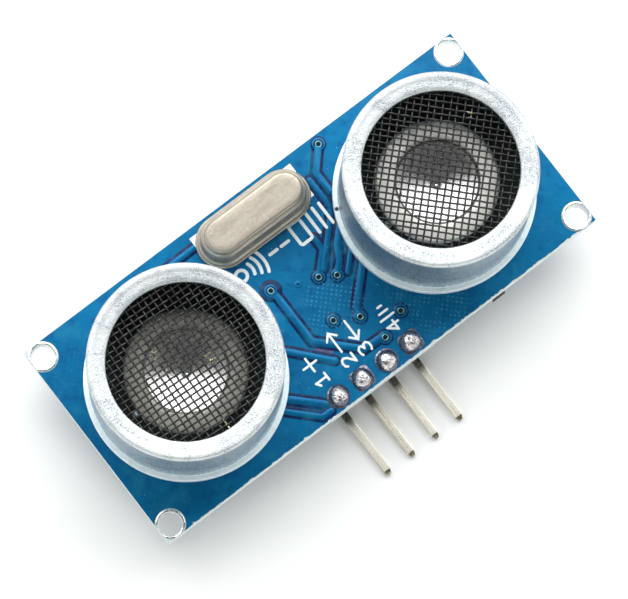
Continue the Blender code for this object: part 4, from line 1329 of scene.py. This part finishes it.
CAMERA_LENS = 260.3            # millimetres
SENSOR_WIDTH = 36.0
CAMERA_DISTANCE = 379.84
CAMERA_LEAN = 8.355            # degrees away from straight above
CAMERA_BEARING = -136.1        # which way it leans, in degrees from +X
CAMERA_AIM = (-0.46, -1.06, 0.0)
IMAGE_UP = 52.58               # bearing that points up the image

# The softbox, in metres, and the brightness of its face
SOFTBOX_BEARING = 57.0
SOFTBOX_NEAR = 0.135
SOFTBOX_DEPTH = 0.65
SOFTBOX_WIDTH = 1.0
SOFTBOX_SHIFT = -0.03
SOFTBOX_HEIGHT = 0.60
SOFTBOX_RADIANCE = 4.0

# White tent round the module: bright walls, dark roof, and the sines of the angles between them
TENT_WALL = 1.36
TENT_ROOF = 0.10
TENT_TOP = (0.62, 0.80)
TENT_COLOUR = (0.97, 1.0, 0.98, 1.0)

FLOOR_SIZE = 6000
FLOOR_DEPTH = 5.0


def build_camera():
    lean = math.radians(CAMERA_LEAN)
    bearing = math.radians(CAMERA_BEARING)
    back = Vector((math.sin(lean) * math.cos(bearing), math.sin(lean) * math.sin(bearing),
                   math.cos(lean)))
    hint = Vector((math.cos(math.radians(IMAGE_UP)), math.sin(math.radians(IMAGE_UP)), 0.0))
    right = hint.cross(back).normalized()
    upward = back.cross(right)
    turn = Matrix((right, upward, back)).transposed().to_4x4()
    spot = Vector(to_world([CAMERA_AIM])[0]) + back * CAMERA_DISTANCE * MM
    data = bpy.data.cameras.new("camera")
    data.lens = CAMERA_LENS
    data.sensor_width = SENSOR_WIDTH
    data.clip_start = 0.01
    data.clip_end = 50.0
    camera = add_object("camera", data)
    camera.matrix_world = Matrix.Translation(spot) @ turn
    bpy.context.scene.camera = camera


def build_studio(paper):
    """Pale floor, white tent and one softbox."""
    floor = Shape().add(plate([rectangle(FLOOR_SIZE, FLOOR_SIZE)], FLOOR - FLOOR_DEPTH, FLOOR))
    mesh = bpy.data.meshes.new("floor")
    mesh.from_pydata(to_world(floor.verts).tolist(), [], floor.faces)
    mesh.materials.append(paper.material)
    add_object("floor", mesh)

    world = bpy.data.worlds.new("studio")
    world.use_nodes = True
    nodes = world.node_tree.nodes
    links = world.node_tree.links
    sky = nodes["Background"]
    sky.inputs["Color"].default_value = TENT_COLOUR
    way = nodes.new("ShaderNodeSeparateXYZ")
    links.new(nodes.new("ShaderNodeTexCoord").outputs["Generated"], way.inputs[0])
    tent = nodes.new("ShaderNodeMapRange")
    for socket, value in (("From Min", TENT_TOP[0]), ("From Max", TENT_TOP[1]), ("To Min", TENT_WALL),
                          ("To Max", TENT_ROOF)):
        tent.inputs[socket].default_value = value
    links.new(way.outputs["Z"], tent.inputs["Value"])
    links.new(tent.outputs["Result"], sky.inputs["Strength"])
    bpy.context.scene.world = world

    # The softbox hangs beyond the top of the picture; its near edge sets where the board shines
    bearing = math.radians(SOFTBOX_BEARING)
    ahead = Vector((math.cos(bearing), math.sin(bearing), 0))
    aside = Vector((-math.sin(bearing), math.cos(bearing), 0))
    data = bpy.data.lights.new("softbox", "AREA")
    data.shape = "RECTANGLE"
    data.size = SOFTBOX_WIDTH
    data.size_y = SOFTBOX_DEPTH
    data.energy = SOFTBOX_RADIANCE * math.pi * SOFTBOX_WIDTH * SOFTBOX_DEPTH
    softbox = add_object("softbox", data)
    softbox.location = (ahead * (SOFTBOX_NEAR + SOFTBOX_DEPTH / 2) + aside * SOFTBOX_SHIFT
                        + Vector((0, 0, SOFTBOX_HEIGHT)))
    softbox.rotation_euler = (0, 0, bearing + math.pi / 2)
    bpy.context.scene.view_settings.view_transform = "Standard"


def main():
    tin = tin_plate()
    joint = solder()
    wire = tinned_wire()
    mould = dark_moulding("chip_moulding", (0.018, 0.018, 0.020), 0.52)
    build_board((mask_over_copper(), mask_over_laminate(), stripped_patch(), laminate(), tin,
                 via_plating(), via_hole_shade(), print_ink()))

    inner = {"base": dark_moulding("base_moulding", (0.085, 0.085, 0.088), 0.6),
             "damping_ring": silicone(), "diaphragm": plate_brass(),
             "piezo_ceramic": fired_ceramic("piezo", (0.78, 0.76, 0.70), (0.66, 0.63, 0.56))}
    frosted = frosted_aluminium()
    drawn = drawn_aluminium()
    dish = cone_metal("dish_sheet", (0.92, 0.92, 0.91), (0.80, 0.80, 0.80), 0.26, 0.0012)
    # One brim metal in two brightnesses: the transmitter's darker copy (dull) is painted shade, the
    # receiver's paler copy (pale) is painted light
    dull = cone_metal("transmitter_brim_painted_shade", (0.48, 0.48, 0.43), (0.38, 0.38, 0.35), 0.5, 0.008)
    pale = cone_metal("receiver_brim_painted_light", (0.90, 0.90, 0.85), (0.78, 0.78, 0.74), 0.42, 0.008)
    # Painted shade: dark grey for the receiver's fold, where shade falls in the groove
    dark = cone_metal("fold_painted_shade", (0.20, 0.20, 0.20), (0.13, 0.13, 0.13), 0.5, 0.004)
    for side, brim, fold in (("transmitter", dull, dull), ("receiver", pale, dark)):
        metals = [frosted, drawn, flange_aluminium(side)]
        build_transducer(side, metals, screen_wire(side), [dish, brim, fold], inner, wire)
    build_crystal(crystal_metal(), wire, quartz())
    build_header(dark_moulding("header_moulding", (0.015, 0.015, 0.015), 0.45),
                 [pin_plating(), pin_tip_shade(), pin_root_shadow()], joint, flux_stain())

    for owner, ends in (("transmitter", "ab"), ("receiver", "ab"), ("crystal", "12")):
        for end in ends:
            build_back_joint(f"{owner}_joint_{end}", joint, tin)
    for node, per_side in (("driver_chip", 8), ("controller_chip", 7), ("amplifier_chip", 7)):
        build_chip(node, lead_rows(per_side), mould, tin, joint)
    build_chip("transistor", TRANSISTOR_LEADS, mould, tin, joint, body_width=1.3)
    glaze = fired_ceramic("resistor_glaze", (0.022, 0.022, 0.024), (0.05, 0.05, 0.055), 0.35)
    brown = fired_ceramic("capacitor_ceramic", (0.40, 0.27, 0.16), (0.52, 0.38, 0.25), 0.45)
    for number in range(1, 8):
        build_small_part(f"resistor_{number}", glaze, tin, joint)
    for number in range(1, 6):
        build_small_part(f"capacitor_{number}", brown, tin, joint)
    # The edge capacitor's metal ends are given a dark brown colour
    capacitor_dark_ends = fired_ceramic("capacitor_end", (0.055, 0.045, 0.035), (0.16, 0.10, 0.05), 0.4)
    build_small_part("edge_capacitor", brown, capacitor_dark_ends, joint, feet=(1,))
    build_studio(floor_paper())
    build_camera()


main()
